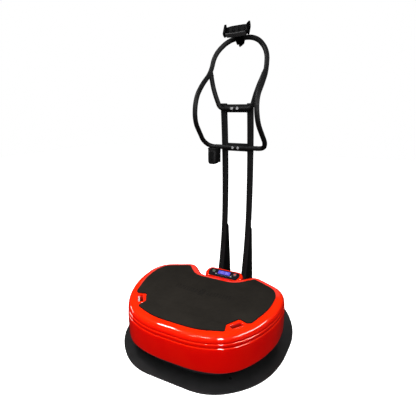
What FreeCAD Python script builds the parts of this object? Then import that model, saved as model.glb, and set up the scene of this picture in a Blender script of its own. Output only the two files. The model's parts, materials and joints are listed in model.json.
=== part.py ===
import FreeCAD, Part
import math
import os

# Vibration plate: a bean-shaped vibrating deck on a floor plate, with a rear console and a tall
# handle frame that carries a phone holder and a pocket.
# Frame: +Z up, +X to the user's right, the front (where the user steps on) at -Y.
# The origin is on the floor, in the symmetry plane, under the middle of the deck. Millimetres.

DOC = FreeCAD.newDocument("vibration_plate")
V = FreeCAD.Vector
Z_AXIS = V(0, 0, 1)
X_AXIS = V(1, 0, 0)
Y_AXIS = V(0, 1, 0)

# ---------------------------------------------------------------- driving dimensions

SIZES = [
    ("plate_thick", 5, "floor plate thickness"),
    ("foot_dia", 44, "rubber foot diameter"),
    ("foot_high", 20, "rubber foot height"),
    ("tray_high", 41, "base tray height"),
    ("tray_wall", 3, "base tray sheet thickness"),
    ("standoff_high", 8, "circuit board standoff height"),
    ("column_dia", 50, "isolator column diameter"),
    ("column_wall", 4, "isolator column wall"),
    ("column_top", 190, "height of the isolator column tops"),
    ("isolator_dia", 46, "rubber isolator diameter"),
    ("deck_plate_low", 233, "underside of the steel deck plate"),
    ("deck_plate_thick", 5, "steel deck plate thickness"),
    ("shell_low", 74, "lower edge of the deck shell"),
    ("shell_top", 242, "top face of the deck shell"),
    ("shell_wall", 4, "deck shell wall"),
    ("shell_proud", 43, "how far the shell stands out round the mat outline"),
    ("shell_round", 41, "radius of the shell's upper edge"),
    ("mat_thick", 6, "rubber mat thickness"),
    ("groove_depth", 1.5, "depth of the two style grooves"),
    ("groove_width", 5, "height of each style groove"),
    ("groove_low", 190.5, "lower edge of the lower groove"),
    ("groove_pitch", 19, "distance between the grooves"),
    ("slot_long", 58, "strap slot length"),
    ("slot_wide", 26, "strap slot width"),
    ("slot_x", 237, "strap slot centre, sideways"),
    ("slot_y", -147, "strap slot centre, front to back"),
    ("slot_turn", 52, "strap slot direction from X, degrees"),
    ("bar_dia", 9, "strap bar diameter"),
    ("motor_x", 112, "motor axis, sideways"),
    ("motor_z", 160, "motor axis height"),
    ("stator_dia", 92, "stator outside diameter"),
    ("stator_bore", 60, "stator bore"),
    ("stator_long", 84, "stator length"),
    ("bell_thick", 12, "motor end bell thickness"),
    ("core_dia", 57, "rotor core diameter"),
    ("shaft_dia", 16, "motor shaft diameter"),
    ("shaft_long", 172, "motor shaft length"),
    ("bearing_dia", 36, "bearing outside diameter"),
    ("bearing_play", 0.05, "radial clearance of the shaft in its bearing"),
    ("weight_dia", 72, "eccentric weight diameter"),
    ("weight_thick", 18, "eccentric weight thickness"),
    ("pod_y", 290, "console pod centre, front to back"),
    ("pod_z", 219.5, "console pod face centre, height"),
    ("pod_tilt", 24, "console face tilt, degrees"),
    ("pod_thick", 34, "console pod thickness"),
    ("pod_wall", 3, "console pod wall"),
    ("fascia_thick", 2, "fascia thickness"),
    ("lcd_wide", 70, "display window width"),
    ("lcd_deep", 23, "display window depth"),
    ("big_button_dia", 14, "start and stop button diameter"),
    ("small_button_dia", 9, "plus and minus button diameter"),
    ("button_gap", 0.4, "clearance round each button"),
    ("post_x", 71.7, "post centre line, sideways"),
    ("post_wide", 30, "post tube width"),
    ("post_deep", 20, "post tube depth"),
    ("post_wall", 2, "post tube wall"),
    ("post_high", 1108, "top of the post tubes"),
    ("post_belly_y", 463, "rearmost point of the post centre line"),
    ("post_belly_z", 560, "height of that point"),
    ("post_low_radius", 1620, "bend radius of the lower post half"),
    ("post_high_radius", 3829, "bend radius of the upper post half"),
    ("flange_thick", 8, "post foot flange thickness"),
    ("grip_dia", 24, "handle tube diameter"),
    ("grip_wall", 2, "handle tube wall"),
    ("upper_bar_z", 1087, "upper handle bar height"),
    ("lower_bar_z", 889, "lower handle bar height"),
    ("cross_high", 40, "crossmember height"),
    ("cross_deep", 20, "crossmember depth"),
    ("bolt_x", 14.3, "handle bolts, sideways"),
    ("bolt_dia", 8, "handle bolt shank diameter"),
    ("bolt_head_dia", 14, "handle bolt head diameter"),
]

sheet = DOC.addObject("Spreadsheet::Sheet", "Sizes")
for row, (alias, value, meaning) in enumerate(SIZES, start=1):
    sheet.set("A%d" % row, meaning)
    sheet.set("B%d" % row, str(value))
    sheet.setAlias("B%d" % row, alias)
DOC.recompute()


def size(alias):
    return float(getattr(sheet, alias))


# ---------------------------------------------------------------- outlines

# Right half of each outline, from the front centre to the rear centre: x, y, corner radius.
# A hollow corner has a negative radius.
DECK_CORNERS = [
    (106, -241, 320), (219, -197, 183), (290, -95, 390), (328, 27, 361), (328, 137, 124),
    (303, 190, 80), (187, 246.5, 12), (108.5, 160.5, -102),
]
# The mat follows the deck outline, with a notch round each strap slot.
MAT_CORNERS = [
    (106, -241, 320), (209, -202, 9), (198, -160, -9), (235, -102, -9), (271, -116, 9),
    (289, -106, 16), (328, 27, 361), (328, 137, 124), (303, 190, 80), (187, 246.5, 7),
    (108.5, 160.5, -102),
]
PLATE_CORNERS = [
    (90, -215, 200), (170, -190, 40), (190, -120, -30), (262, -72, 60), (305, 30, 200),
    (305, 125, 110), (285, 175, 60), (190, 222, 20), (116, 142, -80),
]
TRAY_CORNERS = [
    (106, -236, 320), (214, -193, 180), (284, -93, 380), (321, 27, 350), (321, 132, 120),
    (296, 184, 75), (190, 236, 60), (112, 240, -30), (90, 330, 22),
]
FLOOR_CORNERS = [
    (186, -307, 258), (352, -170, 350), (404, -5, 500), (414, 233, 448), (326, 428, 395),
    (158, 573, 255),
]


def offset_corners(corners, offset):
    """Move every side of a closed symmetric outline outwards, and keep its corners tangent."""
    whole = corners + [(-x, y, r) for x, y, r in reversed(corners)]
    count = len(whole)
    moved = []
    for index in range(count):
        before = V(whole[index - 1][0], whole[index - 1][1], 0)
        here = V(whole[index][0], whole[index][1], 0)
        after = V(whole[(index + 1) % count][0], whole[(index + 1) % count][1], 0)
        side_in = (here - before).normalize()
        side_out = (after - here).normalize()
        normal_in = V(side_in.y, -side_in.x, 0)
        normal_out = V(side_out.y, -side_out.x, 0)
        bisector = (normal_in + normal_out).normalize()
        shift = offset / bisector.dot(normal_in)
        moved.append((here + bisector * shift, whole[index][2] + offset))
    return moved


def rounded_loop(corners):
    """Lines and tangent arcs round a closed list of (point, radius); the sign of a radius only
    says whether the corner is hollow."""
    count = len(corners)
    starts, ends, middles = [], [], []
    for index in range(count):
        before = corners[index - 1][0]
        here, radius = corners[index][0], abs(corners[index][1])
        after = corners[(index + 1) % count][0]
        side_in = (before - here).normalize()
        side_out = (after - here).normalize()
        half_angle = side_in.getAngle(side_out) / 2
        reach = radius / math.tan(half_angle)
        centre = here + (side_in + side_out).normalize() * (radius / math.sin(half_angle))
        starts.append(here + side_in * reach)
        ends.append(here + side_out * reach)
        middles.append(centre + (here - centre).normalize() * radius)
    geometry = []
    for index in range(count):
        geometry.append(Part.Arc(starts[index], middles[index], ends[index]))
        following = starts[(index + 1) % count]
        if (following - ends[index]).Length > 0.01:
            geometry.append(Part.LineSegment(ends[index], following))
    return geometry


def outline(corners, offset=0):
    return rounded_loop(offset_corners(corners, offset))


def box_loop(wide, deep, radius, x=0, y=0):
    """A rounded rectangle centred on x, y."""
    signs = [(-1, -1), (1, -1), (1, 1), (-1, 1)]
    corners = [(V(x + sx * wide / 2, y + sy * deep / 2, 0), radius) for sx, sy in signs]
    return rounded_loop(corners)


def circle_loop(x, y, diameter):
    return [Part.Circle(V(x, y, 0), Z_AXIS, diameter / 2)]


def turned(x, y, degrees):
    turn = FreeCAD.Rotation(Z_AXIS, degrees)
    return turn.multVec(V(x, y, 0))


# ---------------------------------------------------------------- PartDesign helpers

def new_body(name):
    body = DOC.addObject("PartDesign::Body", name)
    body.Label = name
    return body


def new_sketch(body, name, plane, loops):
    sketch = body.newObject("Sketcher::SketchObject", name)
    origin = [item for item in body.Origin.OriginFeatures if item.Role == plane][0]
    sketch.AttachmentSupport = [(origin, "")]
    sketch.MapMode = "FlatFace"
    for loop in loops:
        sketch.addGeometry(loop, False)
    return sketch


def lift(sketch, height):
    """Move a sketch along its own normal by a sheet expression or a number."""
    sketch.setExpression("AttachmentOffset.Base.z", str(height))


def pad(body, name, loops, length, base="0", plane="XY_Plane", both_ways=False):
    sketch = new_sketch(body, name + "_sketch", plane, loops)
    lift(sketch, base)
    feature = body.newObject("PartDesign::Pad", name)
    feature.Profile = sketch
    feature.Midplane = both_ways
    feature.setExpression("Length", length)
    DOC.recompute()
    return feature


def pocket(body, name, loops, length, base="0", plane="XY_Plane", both_ways=False, upwards=False):
    """Cut loops out of a body; the cut must remove material."""
    before = body.Shape.Volume
    sketch = new_sketch(body, name + "_sketch", plane, loops)
    lift(sketch, base)
    feature = body.newObject("PartDesign::Pocket", name)
    feature.Profile = sketch
    feature.Midplane = both_ways
    feature.Reversed = upwards
    feature.setExpression("Length", length)
    DOC.recompute()
    if body.Shape.Volume > before - 1:
        raise RuntimeError(name + " cuts nothing")
    return feature


def place(item, x="0", y="0", z="0"):
    """Bind an object's place to sheet expressions."""
    item.setExpression("Placement.Base.x", str(x))
    item.setExpression("Placement.Base.y", str(y))
    item.setExpression("Placement.Base.z", str(z))


# ---------------------------------------------------------------- Part helpers

def cylinder(name, diameter, height, at=("0", "0", "0"), axis=Z_AXIS):
    item = DOC.addObject("Part::Cylinder", name)
    item.setExpression("Radius", "(%s) / 2" % diameter)
    item.setExpression("Height", str(height))
    item.Placement = FreeCAD.Placement(V(0, 0, 0), FreeCAD.Rotation(Z_AXIS, axis))
    place(item, *at)
    return item


def block(name, wide, deep, high, at=("0", "0", "0")):
    """A box with its lowest corner at a place."""
    item = DOC.addObject("Part::Box", name)
    item.setExpression("Length", str(wide))
    item.setExpression("Width", str(deep))
    item.setExpression("Height", str(high))
    place(item, *at)
    return item


def cut(name, base, tool):
    item = DOC.addObject("Part::Cut", name)
    item.Base = base
    item.Tool = tool
    item.Label = name
    return item


def fuse(name, items):
    item = DOC.addObject("Part::MultiFuse", name)
    item.Shapes = items
    item.Refine = True
    item.Label = name
    return item


def gather(name, items):
    item = DOC.addObject("Part::Compound", name)
    item.Links = items
    item.Label = name
    return item


NODES = []


def keep(*items):
    """Add finished sub-parts to the list that is written out."""
    NODES.extend(items)
    return items[0]


SIDES = (("left", -1), ("right", 1))

# ---------------------------------------------------------------- floor plate and feet

PLATE_TOP = "Sizes.plate_thick"
FLANGE_BOLTS_XY = [(side * (71.7 + dx), y) for _, side in SIDES for dx in (-24, 24) for y in (352, 538)]
FIXING_HOLES_XY = [(side * 230, y) for _, side in SIDES for y in (-180, 400)]
FIXING_HOLE_DIA = 9
FLANGE_BOLT_DIA = 10
FLANGE_HOLE_DIA = 10.6


def make_floor_plate():
    body = new_body("floor_plate")
    pad(body, "floor_sheet", [outline(FLOOR_CORNERS)], PLATE_TOP)
    holes = [circle_loop(x, y, FLANGE_HOLE_DIA) for x, y in FLANGE_BOLTS_XY]
    holes += [circle_loop(x, y, FIXING_HOLE_DIA) for x, y in FIXING_HOLES_XY]
    pocket(body, "floor_holes", holes, "Sizes.plate_thick", base=PLATE_TOP)
    keep(body)


FEET_XY = [(side * x, y) for _, side in SIDES for x, y in ((110, -185), (275, 0), (215, 165))]


def make_feet():
    feet = []
    for number, (x, y) in enumerate(FEET_XY, start=1):
        feet.append(cylinder("foot_%d" % number, "Sizes.foot_dia", "Sizes.foot_high", (x, y, PLATE_TOP)))
    keep(gather("machine_feet", feet))


# ---------------------------------------------------------------- base tray and isolators

TRAY_LOW = "(Sizes.plate_thick + Sizes.foot_high)"
TRAY_FLOOR = "(Sizes.plate_thick + Sizes.foot_high + Sizes.tray_wall)"
INLET_WIDE, INLET_HIGH = 28, 21
ROCKER_WIDE, ROCKER_HIGH = 15, 21
INLET_X, ROCKER_X = -26, 26
PANEL_Z = 46
ROCKER_PIVOT_Y = 328
TRAY_REAR_Y = 330
STANDOFF_DIA = 7
STANDOFFS_XY = [(-68, -58), (68, -58), (-68, 18), (68, 18)]


def make_tray():
    body = new_body("base_tray")
    pad(body, "tray_block", [outline(TRAY_CORNERS)], "Sizes.tray_high", base=TRAY_LOW)
    inner = outline(TRAY_CORNERS, -size("tray_wall"))
    pocket(body, "tray_hollow", [inner], "Sizes.tray_high - Sizes.tray_wall",
           base=TRAY_LOW + " + Sizes.tray_high")
    bosses = [circle_loop(x, y, STANDOFF_DIA) for x, y in STANDOFFS_XY]
    pad(body, "board_standoffs", bosses, "Sizes.standoff_high", base=TRAY_FLOOR)
    # The XZ plane's normal points to -Y, so its sketch is lifted by minus y.
    sketch = new_sketch(body, "panel_sketch", "XZ_Plane", [
        box_loop(INLET_WIDE, INLET_HIGH, 1, INLET_X, PANEL_Z),
        box_loop(ROCKER_WIDE, ROCKER_HIGH, 1, ROCKER_X, PANEL_Z)])
    lift(sketch, -(TRAY_REAR_Y - 6))
    before = body.Shape.Volume
    windows_cut = body.newObject("PartDesign::Pocket", "panel_windows")
    windows_cut.Profile = sketch
    windows_cut.Length = 12
    DOC.recompute()
    if body.Shape.Volume > before - 1:
        windows_cut.Reversed = True
        DOC.recompute()
    if body.Shape.Volume > before - 1:
        raise RuntimeError("panel_windows cuts nothing")
    keep(body)


ISOLATORS_XY = [(side * x, y) for _, side in SIDES for x, y in ((88, -165), (250, 20), (195, 150))]


def make_isolators():
    columns, rubbers = [], []
    for number, (x, y) in enumerate(ISOLATORS_XY, start=1):
        outer = cylinder("column_outer_%d" % number, "Sizes.column_dia",
                         "Sizes.column_top - " + TRAY_FLOOR, (x, y, TRAY_FLOOR))
        inner = cylinder("column_inner_%d" % number, "Sizes.column_dia - 2 * Sizes.column_wall",
                         "Sizes.column_top - Sizes.column_wall - " + TRAY_FLOOR, (x, y, TRAY_FLOOR))
        columns.append(cut("column_%d" % number, outer, inner))
        rubbers.append(cylinder("isolator_%d" % number, "Sizes.isolator_dia",
                                "Sizes.deck_plate_low - Sizes.column_top", (x, y, "Sizes.column_top")))
    keep(gather("isolator_columns", columns), gather("isolators", rubbers))


# ---------------------------------------------------------------- deck

def slot_loop(side, extra=0):
    """The strap slot as a loop in the deck's frame."""
    angle = size("slot_turn") if side > 0 else 180 - size("slot_turn")
    middle = V(side * size("slot_x"), size("slot_y"), 0)
    long_half = size("slot_long") / 2 + extra
    wide_half = size("slot_wide") / 2 + extra
    signs = [(-1, -1), (1, -1), (1, 1), (-1, 1)]
    corners = [(middle + turned(sx * long_half, sy * wide_half, angle), 6 + extra) for sx, sy in signs]
    return rounded_loop(corners)


def rounded_slab(name, offset, low, top, radius):
    """A slab of the deck outline with a rounded upper edge."""
    body = new_body(name)
    pad(body, name + "_pad", [outline(DECK_CORNERS, offset)], "%s - %s" % (top, low), base=low)
    solid = body.Tip
    top_height = body.Shape.BoundBox.ZMax
    rim = ["Edge%d" % (index + 1) for index, edge in enumerate(solid.Shape.Edges)
           if edge.BoundBox.ZMin > top_height - 0.01]
    round_edge = body.newObject("PartDesign::Fillet", name + "_round")
    round_edge.Base = (solid, rim)
    round_edge.setExpression("Radius", radius)
    body.Tip = round_edge
    DOC.recompute()
    return body


def make_shell():
    outer = rounded_slab("shell_outer", size("shell_proud"), "Sizes.shell_low", "Sizes.shell_top",
                         "Sizes.shell_round")
    inner = rounded_slab("shell_inner", size("shell_proud") - size("shell_wall"), "Sizes.shell_low",
                         "(Sizes.shell_top - Sizes.shell_wall)", "Sizes.shell_round - Sizes.shell_wall")
    hollow = cut("shell_hollow", outer, inner)
    rings = []
    for number in (0, 1):
        ring = new_body("groove_ring_%d" % number)
        loops = [outline(DECK_CORNERS, size("shell_proud") + 5),
                 outline(DECK_CORNERS, size("shell_proud") - size("groove_depth"))]
        pad(ring, "groove_%d" % number, loops, "Sizes.groove_width",
            base="Sizes.groove_low + %d * Sizes.groove_pitch" % number)
        rings.append(ring)
    slots = new_body("slot_cutters")
    pad(slots, "slot_cutter_pad", [slot_loop(-1, 1.5), slot_loop(1, 1.5)], "60",
        base="Sizes.shell_top - 50")
    tools = fuse("shell_tools", rings + [slots])
    keep(cut("deck_shell", hollow, tools))


def make_mat():
    body = new_body("deck_mat")
    pad(body, "mat_pad", [outline(MAT_CORNERS)], "Sizes.mat_thick", base="Sizes.shell_top")
    keep(body)


def make_deck_plate():
    body = new_body("deck_plate")
    pad(body, "deck_plate_pad", [outline(PLATE_CORNERS)], "Sizes.deck_plate_thick",
        base="Sizes.deck_plate_low")
    keep(body)


# The strap bar's ends sit in the slot liner's end walls, under the shell's top face.
LINER_WALL = 3.2
BAR_DROP = 9
BAR_OUTWARD = 7


def make_strap_slots():
    liners, bars = [], []
    for word, side in SIDES:
        liner = new_body("strap_liner_" + word)
        pad(liner, "liner_pad_" + word, [slot_loop(side, 1.2), slot_loop(side, -1.8)], "20",
            base="Sizes.shell_top - 24")
        liners.append(liner)
        bar = DOC.addObject("Part::Cylinder", "strap_bar_" + word)
        bar.setExpression("Radius", "Sizes.bar_dia / 2")
        bar.setExpression("Height", "Sizes.slot_long - %s" % LINER_WALL)
        angle = size("slot_turn") if side > 0 else 180 - size("slot_turn")
        along = turned(1, 0, angle)
        across = turned(0, -1, angle) if side > 0 else turned(0, 1, angle)
        start = V(side * size("slot_x"), size("slot_y"), size("shell_top") - BAR_DROP)
        start = start - along * ((size("slot_long") - LINER_WALL) / 2) + across * BAR_OUTWARD
        bar.Placement = FreeCAD.Placement(start, FreeCAD.Rotation(Z_AXIS, along))
        bars.append(bar)
    keep(gather("strap_slot_liners", liners), gather("strap_bars", bars))


# ---------------------------------------------------------------- motors

def tube_y(name, outer, inner, length, x, y, z):
    """A ring or tube along Y, starting at y."""
    body = cylinder(name + "_outer", outer, length, (x, y, z), Y_AXIS)
    bore = cylinder(name + "_bore", inner, length, (x, y, z), Y_AXIS)
    return cut(name, body, bore)


def make_motors():
    stators, bells, bearings, saddles = [], [], [], []
    for word, side in SIDES:
        x = "%d * Sizes.motor_x" % side
        stators.append(tube_y("stator_" + word, "Sizes.stator_dia", "Sizes.stator_bore",
                              "Sizes.stator_long", x, "-Sizes.stator_long / 2", "Sizes.motor_z"))
        starts = (("front", "-Sizes.stator_long / 2 - Sizes.bell_thick"), ("rear", "Sizes.stator_long / 2"))
        for end, start in starts:
            bells.append(tube_y("bell_%s_%s" % (word, end), "Sizes.stator_dia - 4", "Sizes.bearing_dia",
                                "Sizes.bell_thick", x, start, "Sizes.motor_z"))
            bearings.append(tube_y("bearing_%s_%s" % (word, end), "Sizes.bearing_dia",
                                   "Sizes.shaft_dia + 2 * Sizes.bearing_play", "Sizes.bell_thick",
                                   x, start, "Sizes.motor_z"))
        block_item = block("saddle_block_" + word, "70", "Sizes.stator_long - 20",
                           "Sizes.deck_plate_low - Sizes.motor_z - 10",
                           ("%s - 35" % x, "-(Sizes.stator_long - 20) / 2", "Sizes.motor_z + 10"))
        hollow = cylinder("saddle_hollow_" + word, "Sizes.stator_dia", "Sizes.stator_long",
                          (x, "-Sizes.stator_long / 2", "Sizes.motor_z"), Y_AXIS)
        saddles.append(cut("saddle_" + word, block_item, hollow))
        make_rotor(word, x)
    keep(gather("motor_stators", stators), gather("motor_end_bells", bells))
    keep(gather("motor_bearings", bearings), gather("motor_saddles", saddles))


def make_rotor(word, x):
    shaft = cylinder("shaft_" + word, "Sizes.shaft_dia", "Sizes.shaft_long",
                     (x, "-Sizes.shaft_long / 2", "Sizes.motor_z"), Y_AXIS)
    core = cylinder("core_" + word, "Sizes.core_dia", "Sizes.stator_long - 16",
                    (x, "-(Sizes.stator_long - 16) / 2", "Sizes.motor_z"), Y_AXIS)
    rotor = fuse("rotor_" + word, [shaft, core])
    weights = []
    for end, start in (("front", "-Sizes.shaft_long / 2 + 3"),
                       ("rear", "Sizes.shaft_long / 2 - 3 - Sizes.weight_thick")):
        name = "weight_%s_%s" % (word, end)
        disc = cylinder(name + "_disc", "Sizes.weight_dia", "Sizes.weight_thick",
                        (x, start, "Sizes.motor_z"), Y_AXIS)
        boss = cylinder(name + "_boss", "Sizes.shaft_dia + 12", "Sizes.weight_thick",
                        (x, start, "Sizes.motor_z"), Y_AXIS)
        upper = block(name + "_upper", "Sizes.weight_dia", "Sizes.weight_thick", "Sizes.weight_dia / 2",
                      ("%s - Sizes.weight_dia / 2" % x, start, "Sizes.motor_z"))
        half = cut(name + "_half", disc, upper)
        whole = fuse(name + "_whole", [half, boss])
        hole = cylinder(name + "_hole", "Sizes.shaft_dia", "Sizes.weight_thick",
                        (x, start, "Sizes.motor_z"), Y_AXIS)
        weights.append(cut(name, whole, hole))
    keep(rotor, gather("eccentrics_" + word, weights))


# ---------------------------------------------------------------- base electronics

BOARD_X, BOARD_Y = -75, -65


def make_electronics():
    low = TRAY_FLOOR + " + Sizes.standoff_high"
    board = block("board_sheet", "150", "90", "1.6", (BOARD_X, BOARD_Y, low))
    caps = [cylinder("capacitor_%d" % n, "16", "24", (20 + 20 * n, -35, low + " + 1.6")) for n in range(3)]
    keep(fuse("control_board", [board] + caps))
    base = block("drive_base", "60", "40", "4", (-60, -60, low + " + 1.6"))
    fins = [block("drive_fin_%d" % n, "60", "3", "14", (-60, -60 + 9.25 * n, low + " + 5.6"))
            for n in range(5)]
    keep(fuse("drive_heatsink", [base] + fins))


def make_power_entry():
    face_y = TRAY_REAR_Y + 0.2
    flange = block("inlet_flange", "32", "2.5", "26", (INLET_X - 16, face_y, PANEL_Z - 13))
    barrel = block("inlet_barrel", "27.4", "24", "20.4",
                   (INLET_X - 13.7, TRAY_REAR_Y - 21.5, PANEL_Z - 10.2))
    socket = block("inlet_socket", "22", "17", "14.4", (INLET_X - 11, TRAY_REAR_Y - 14.3, PANEL_Z - 7.2))
    housing = cut("inlet_housing", fuse("inlet_body", [flange, barrel]), socket)
    pin_start = (INLET_X - 1, TRAY_REAR_Y - 15, PANEL_Z - 2)
    pins = [block("inlet_pin_%d" % n, "2", "14", "4", (pin_start[0] + dx, pin_start[1], pin_start[2] + dz))
            for n, (dx, dz) in enumerate(((-6, -2), (0, 2.4), (6, -2)))]
    keep(fuse("power_inlet", [housing] + pins))
    bezel = block("rocker_flange", "19", "2", "25", (ROCKER_X - 9.5, face_y, PANEL_Z - 12.5))
    case = block("rocker_case", "14.4", "20", "20.4", (ROCKER_X - 7.2, TRAY_REAR_Y - 18, PANEL_Z - 10.2))
    room = block("rocker_room", "11.2", "18", "17", (ROCKER_X - 5.6, TRAY_REAR_Y - 14, PANEL_Z - 8.5))
    keep(cut("rocker_bezel", fuse("rocker_housing", [bezel, case]), room))
    # Side outline of the rocker round its own pivot, tipped to its off position.
    tip = math.radians(-10)
    profile = [(-5, -3.5), (2.2, -7), (4.4, -7), (2.6, 0), (4.4, 7), (2.2, 7), (-5, 3.5)]
    points = [V(u * math.cos(tip) - v * math.sin(tip), u * math.sin(tip) + v * math.cos(tip), 0)
              for u, v in profile]
    loop = [Part.LineSegment(points[n - 1], points[n]) for n in range(len(points))]
    rocker = new_body("power_rocker")
    pad(rocker, "rocker_pad", [loop], "10.4", plane="YZ_Plane", both_ways=True)
    place(rocker, ROCKER_X, ROCKER_PIVOT_Y, PANEL_Z)
    keep(rocker)


# ---------------------------------------------------------------- console

CONSOLE_TILT = FreeCAD.Rotation(X_AXIS, size("pod_tilt"))
BIG_BUTTONS = (("start_button", -62, 1), ("stop_button", 62, 1))
SMALL_BUTTONS = (("minus_button", -43, -15.5), ("plus_button", 43, -15.5))
LCD_Y = -1
# Right halves of the pod's plan and of the fascia's, from front to rear, like the deck outlines.
POD_CORNERS = [(98, -45, 28), (114, 2, 40), (86, 29, 26)]
FASCIA_CORNERS = [(80, -33, 14), (93, 2, 24), (79, 17, 12)]


def on_console(item):
    """Put an object made in the console face's own frame where the console is."""
    item.Placement = FreeCAD.Placement(V(0, 0, 0), CONSOLE_TILT)
    place(item, "0", "Sizes.pod_y", "Sizes.pod_z")
    return item


def pod_loop(inset):
    return outline(POD_CORNERS, -inset)


def make_console():
    pod = new_body("console_housing")
    pad(pod, "pod_pad", [pod_loop(0)], "Sizes.pod_thick", base="-Sizes.pod_thick")
    solid = pod.Tip
    rim = ["Edge%d" % (index + 1) for index, edge in enumerate(solid.Shape.Edges)
           if edge.BoundBox.ZMin > -0.01]
    round_edge = pod.newObject("PartDesign::Fillet", "pod_round")
    round_edge.Base = (solid, rim)
    round_edge.Radius = 6
    pod.Tip = round_edge
    DOC.recompute()
    pocket(pod, "pod_hollow", [pod_loop(size("pod_wall"))], "Sizes.pod_thick - 8 - Sizes.pod_wall",
           base="-Sizes.pod_thick", upwards=True)
    pocket(pod, "pod_window", [outline(FASCIA_CORNERS, -3)], "Sizes.pod_wall + 8")
    pocket(pod, "pod_seat", [outline(FASCIA_CORNERS, 0.2)], "Sizes.fascia_thick - 1")
    keep(on_console(pod))

    base = new_body("console_base")
    pad(base, "base_pad", [pod_loop(0.5)], "Sizes.pod_wall", base="-Sizes.pod_thick - Sizes.pod_wall")
    pocket(base, "base_cable_hole", [circle_loop(0, 0, 24)], "Sizes.pod_wall", base="-Sizes.pod_thick")
    keep(on_console(base))

    fascia = new_body("console_fascia")
    pad(fascia, "fascia_pad", [outline(FASCIA_CORNERS)], "Sizes.fascia_thick",
        base="1 - Sizes.fascia_thick")
    gap = 2 * size("button_gap")
    holes = [circle_loop(x, y, size("big_button_dia") + gap) for _, x, y in BIG_BUTTONS]
    holes += [circle_loop(x, y, size("small_button_dia") + gap) for _, x, y in SMALL_BUTTONS]
    holes.append(box_loop(size("lcd_wide"), size("lcd_deep"), 3, 0, LCD_Y))
    pocket(fascia, "fascia_holes", holes, "Sizes.fascia_thick", base="1")
    keep(on_console(fascia))

    window = new_body("lcd_window")
    pad(window, "window_pad", [box_loop(size("lcd_wide"), size("lcd_deep"), 3, 0, LCD_Y)], "1.4",
        base="-0.6")
    keep(on_console(window))
    module = new_body("lcd_module")
    pad(module, "module_pad", [box_loop(size("lcd_wide") + 4, size("lcd_deep") + 4, 1, 0, LCD_Y)],
        "7", base="-9")
    keep(on_console(module))
    board = new_body("console_pcb")
    pad(board, "console_pcb_pad", [outline(FASCIA_CORNERS, -6)], "1.6", base="-16")
    keep(on_console(board))
    spots = [(x, y) for _, x, y in BIG_BUTTONS + SMALL_BUTTONS]
    for number, (x, y) in enumerate(spots):
        one = new_body("switch_%d" % number)
        pad(one, "switch_pad_%d" % number, [box_loop(6, 6, 0.5, x, y)], "4.6", base="-14.4")
        on_console(one)
    keep(gather("console_switches", [DOC.getObject("switch_%d" % n) for n in range(len(spots))]))
    rings = []
    for number, (_, x, y) in enumerate(BIG_BUTTONS):
        ring = new_body("ring_%d" % number)
        loops = [circle_loop(x, y, size("big_button_dia") + 5),
                 circle_loop(x, y, size("big_button_dia") + gap)]
        pad(ring, "ring_pad_%d" % number, loops, "1.2", base="1")
        rings.append(on_console(ring))
    keep(gather("button_rings", rings))
    for name, x, y in BIG_BUTTONS:
        button = new_body(name)
        pad(button, name + "_pad", [circle_loop(x, y, size("big_button_dia"))], "11.2", base="-8")
        keep(on_console(button))
    for name, x, y in SMALL_BUTTONS:
        button = new_body(name)
        pad(button, name + "_pad", [circle_loop(x, y, size("small_button_dia"))], "10.4", base="-8")
        keep(on_console(button))


def make_console_column():
    """The hollow column that carries the console, cut to the console's slope at the top."""
    wide, deep, front = 124, 56, 246
    outer = block("column_box", wide, deep, "200", (-wide / 2, front, TRAY_FLOOR))
    inner = block("column_room", wide - 6, deep - 6, "200", (-wide / 2 + 3, front + 3, TRAY_FLOOR))
    tube = cut("column_tube", outer, inner)
    roof = DOC.addObject("Part::Box", "column_roof")
    roof.Length, roof.Width, roof.Height = 300, 300, 200
    corner = CONSOLE_TILT.multVec(V(-150, -150, -size("pod_thick") - size("pod_wall")))
    roof.Placement = FreeCAD.Placement(V(0, size("pod_y"), size("pod_z")) + corner, CONSOLE_TILT)
    keep(cut("console_column", tube, roof))


# ---------------------------------------------------------------- posts

def arc_point(radius, height, outward=0):
    """A point of the post's side curve, at a height, moved off the centre line."""
    belly = V(size("post_belly_y"), size("post_belly_z"), 0)
    centre = belly - V(radius, 0, 0)
    rise = height - belly.y
    reach = radius + outward
    return centre + V(math.sqrt(reach * reach - rise * rise), rise, 0)


def post_band(half, low, high):
    """The closed side outline of a stretch of post, half thick each side of its centre line.
    Sketch x is the object's Y and sketch y its Z."""
    upper, lower = size("post_high_radius"), size("post_low_radius")
    middle = size("post_belly_z")
    rear = [arc_point(lower, low, half), arc_point(lower, (low + middle) / 2, half),
            arc_point(lower, middle, half)]
    rear_up = [rear[2], arc_point(upper, (middle + high) / 2, half), arc_point(upper, high, half)]
    front_up = [arc_point(upper, high, -half), arc_point(upper, (middle + high) / 2, -half),
                arc_point(upper, middle, -half)]
    front = [front_up[2], arc_point(lower, (low + middle) / 2, -half), arc_point(lower, low, -half)]
    return [Part.Arc(*rear), Part.Arc(*rear_up), Part.LineSegment(rear_up[2], front_up[0]),
            Part.Arc(*front_up), Part.Arc(*front), Part.LineSegment(front[2], rear[0])]


POST_LOW = size("plate_thick") + size("flange_thick")


def make_posts():
    half = size("post_deep") / 2
    wall = size("post_wall")
    for word, side in SIDES:
        body = new_body("post_" + word)
        pad(body, "post_pad_" + word, [post_band(half, POST_LOW, size("post_high"))], "Sizes.post_wide",
            plane="YZ_Plane", both_ways=True)
        pocket(body, "post_hollow_" + word, [post_band(half - wall, POST_LOW, size("post_high"))],
               "Sizes.post_wide - 2 * Sizes.post_wall", plane="YZ_Plane", both_ways=True)
        place(body, "%d * Sizes.post_x" % side)
        keep(body)


BOOT_TOP_Z, BOOT_SHOULDER, BOOT_HEEL_Y = 446, (489, 424), 548


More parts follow.
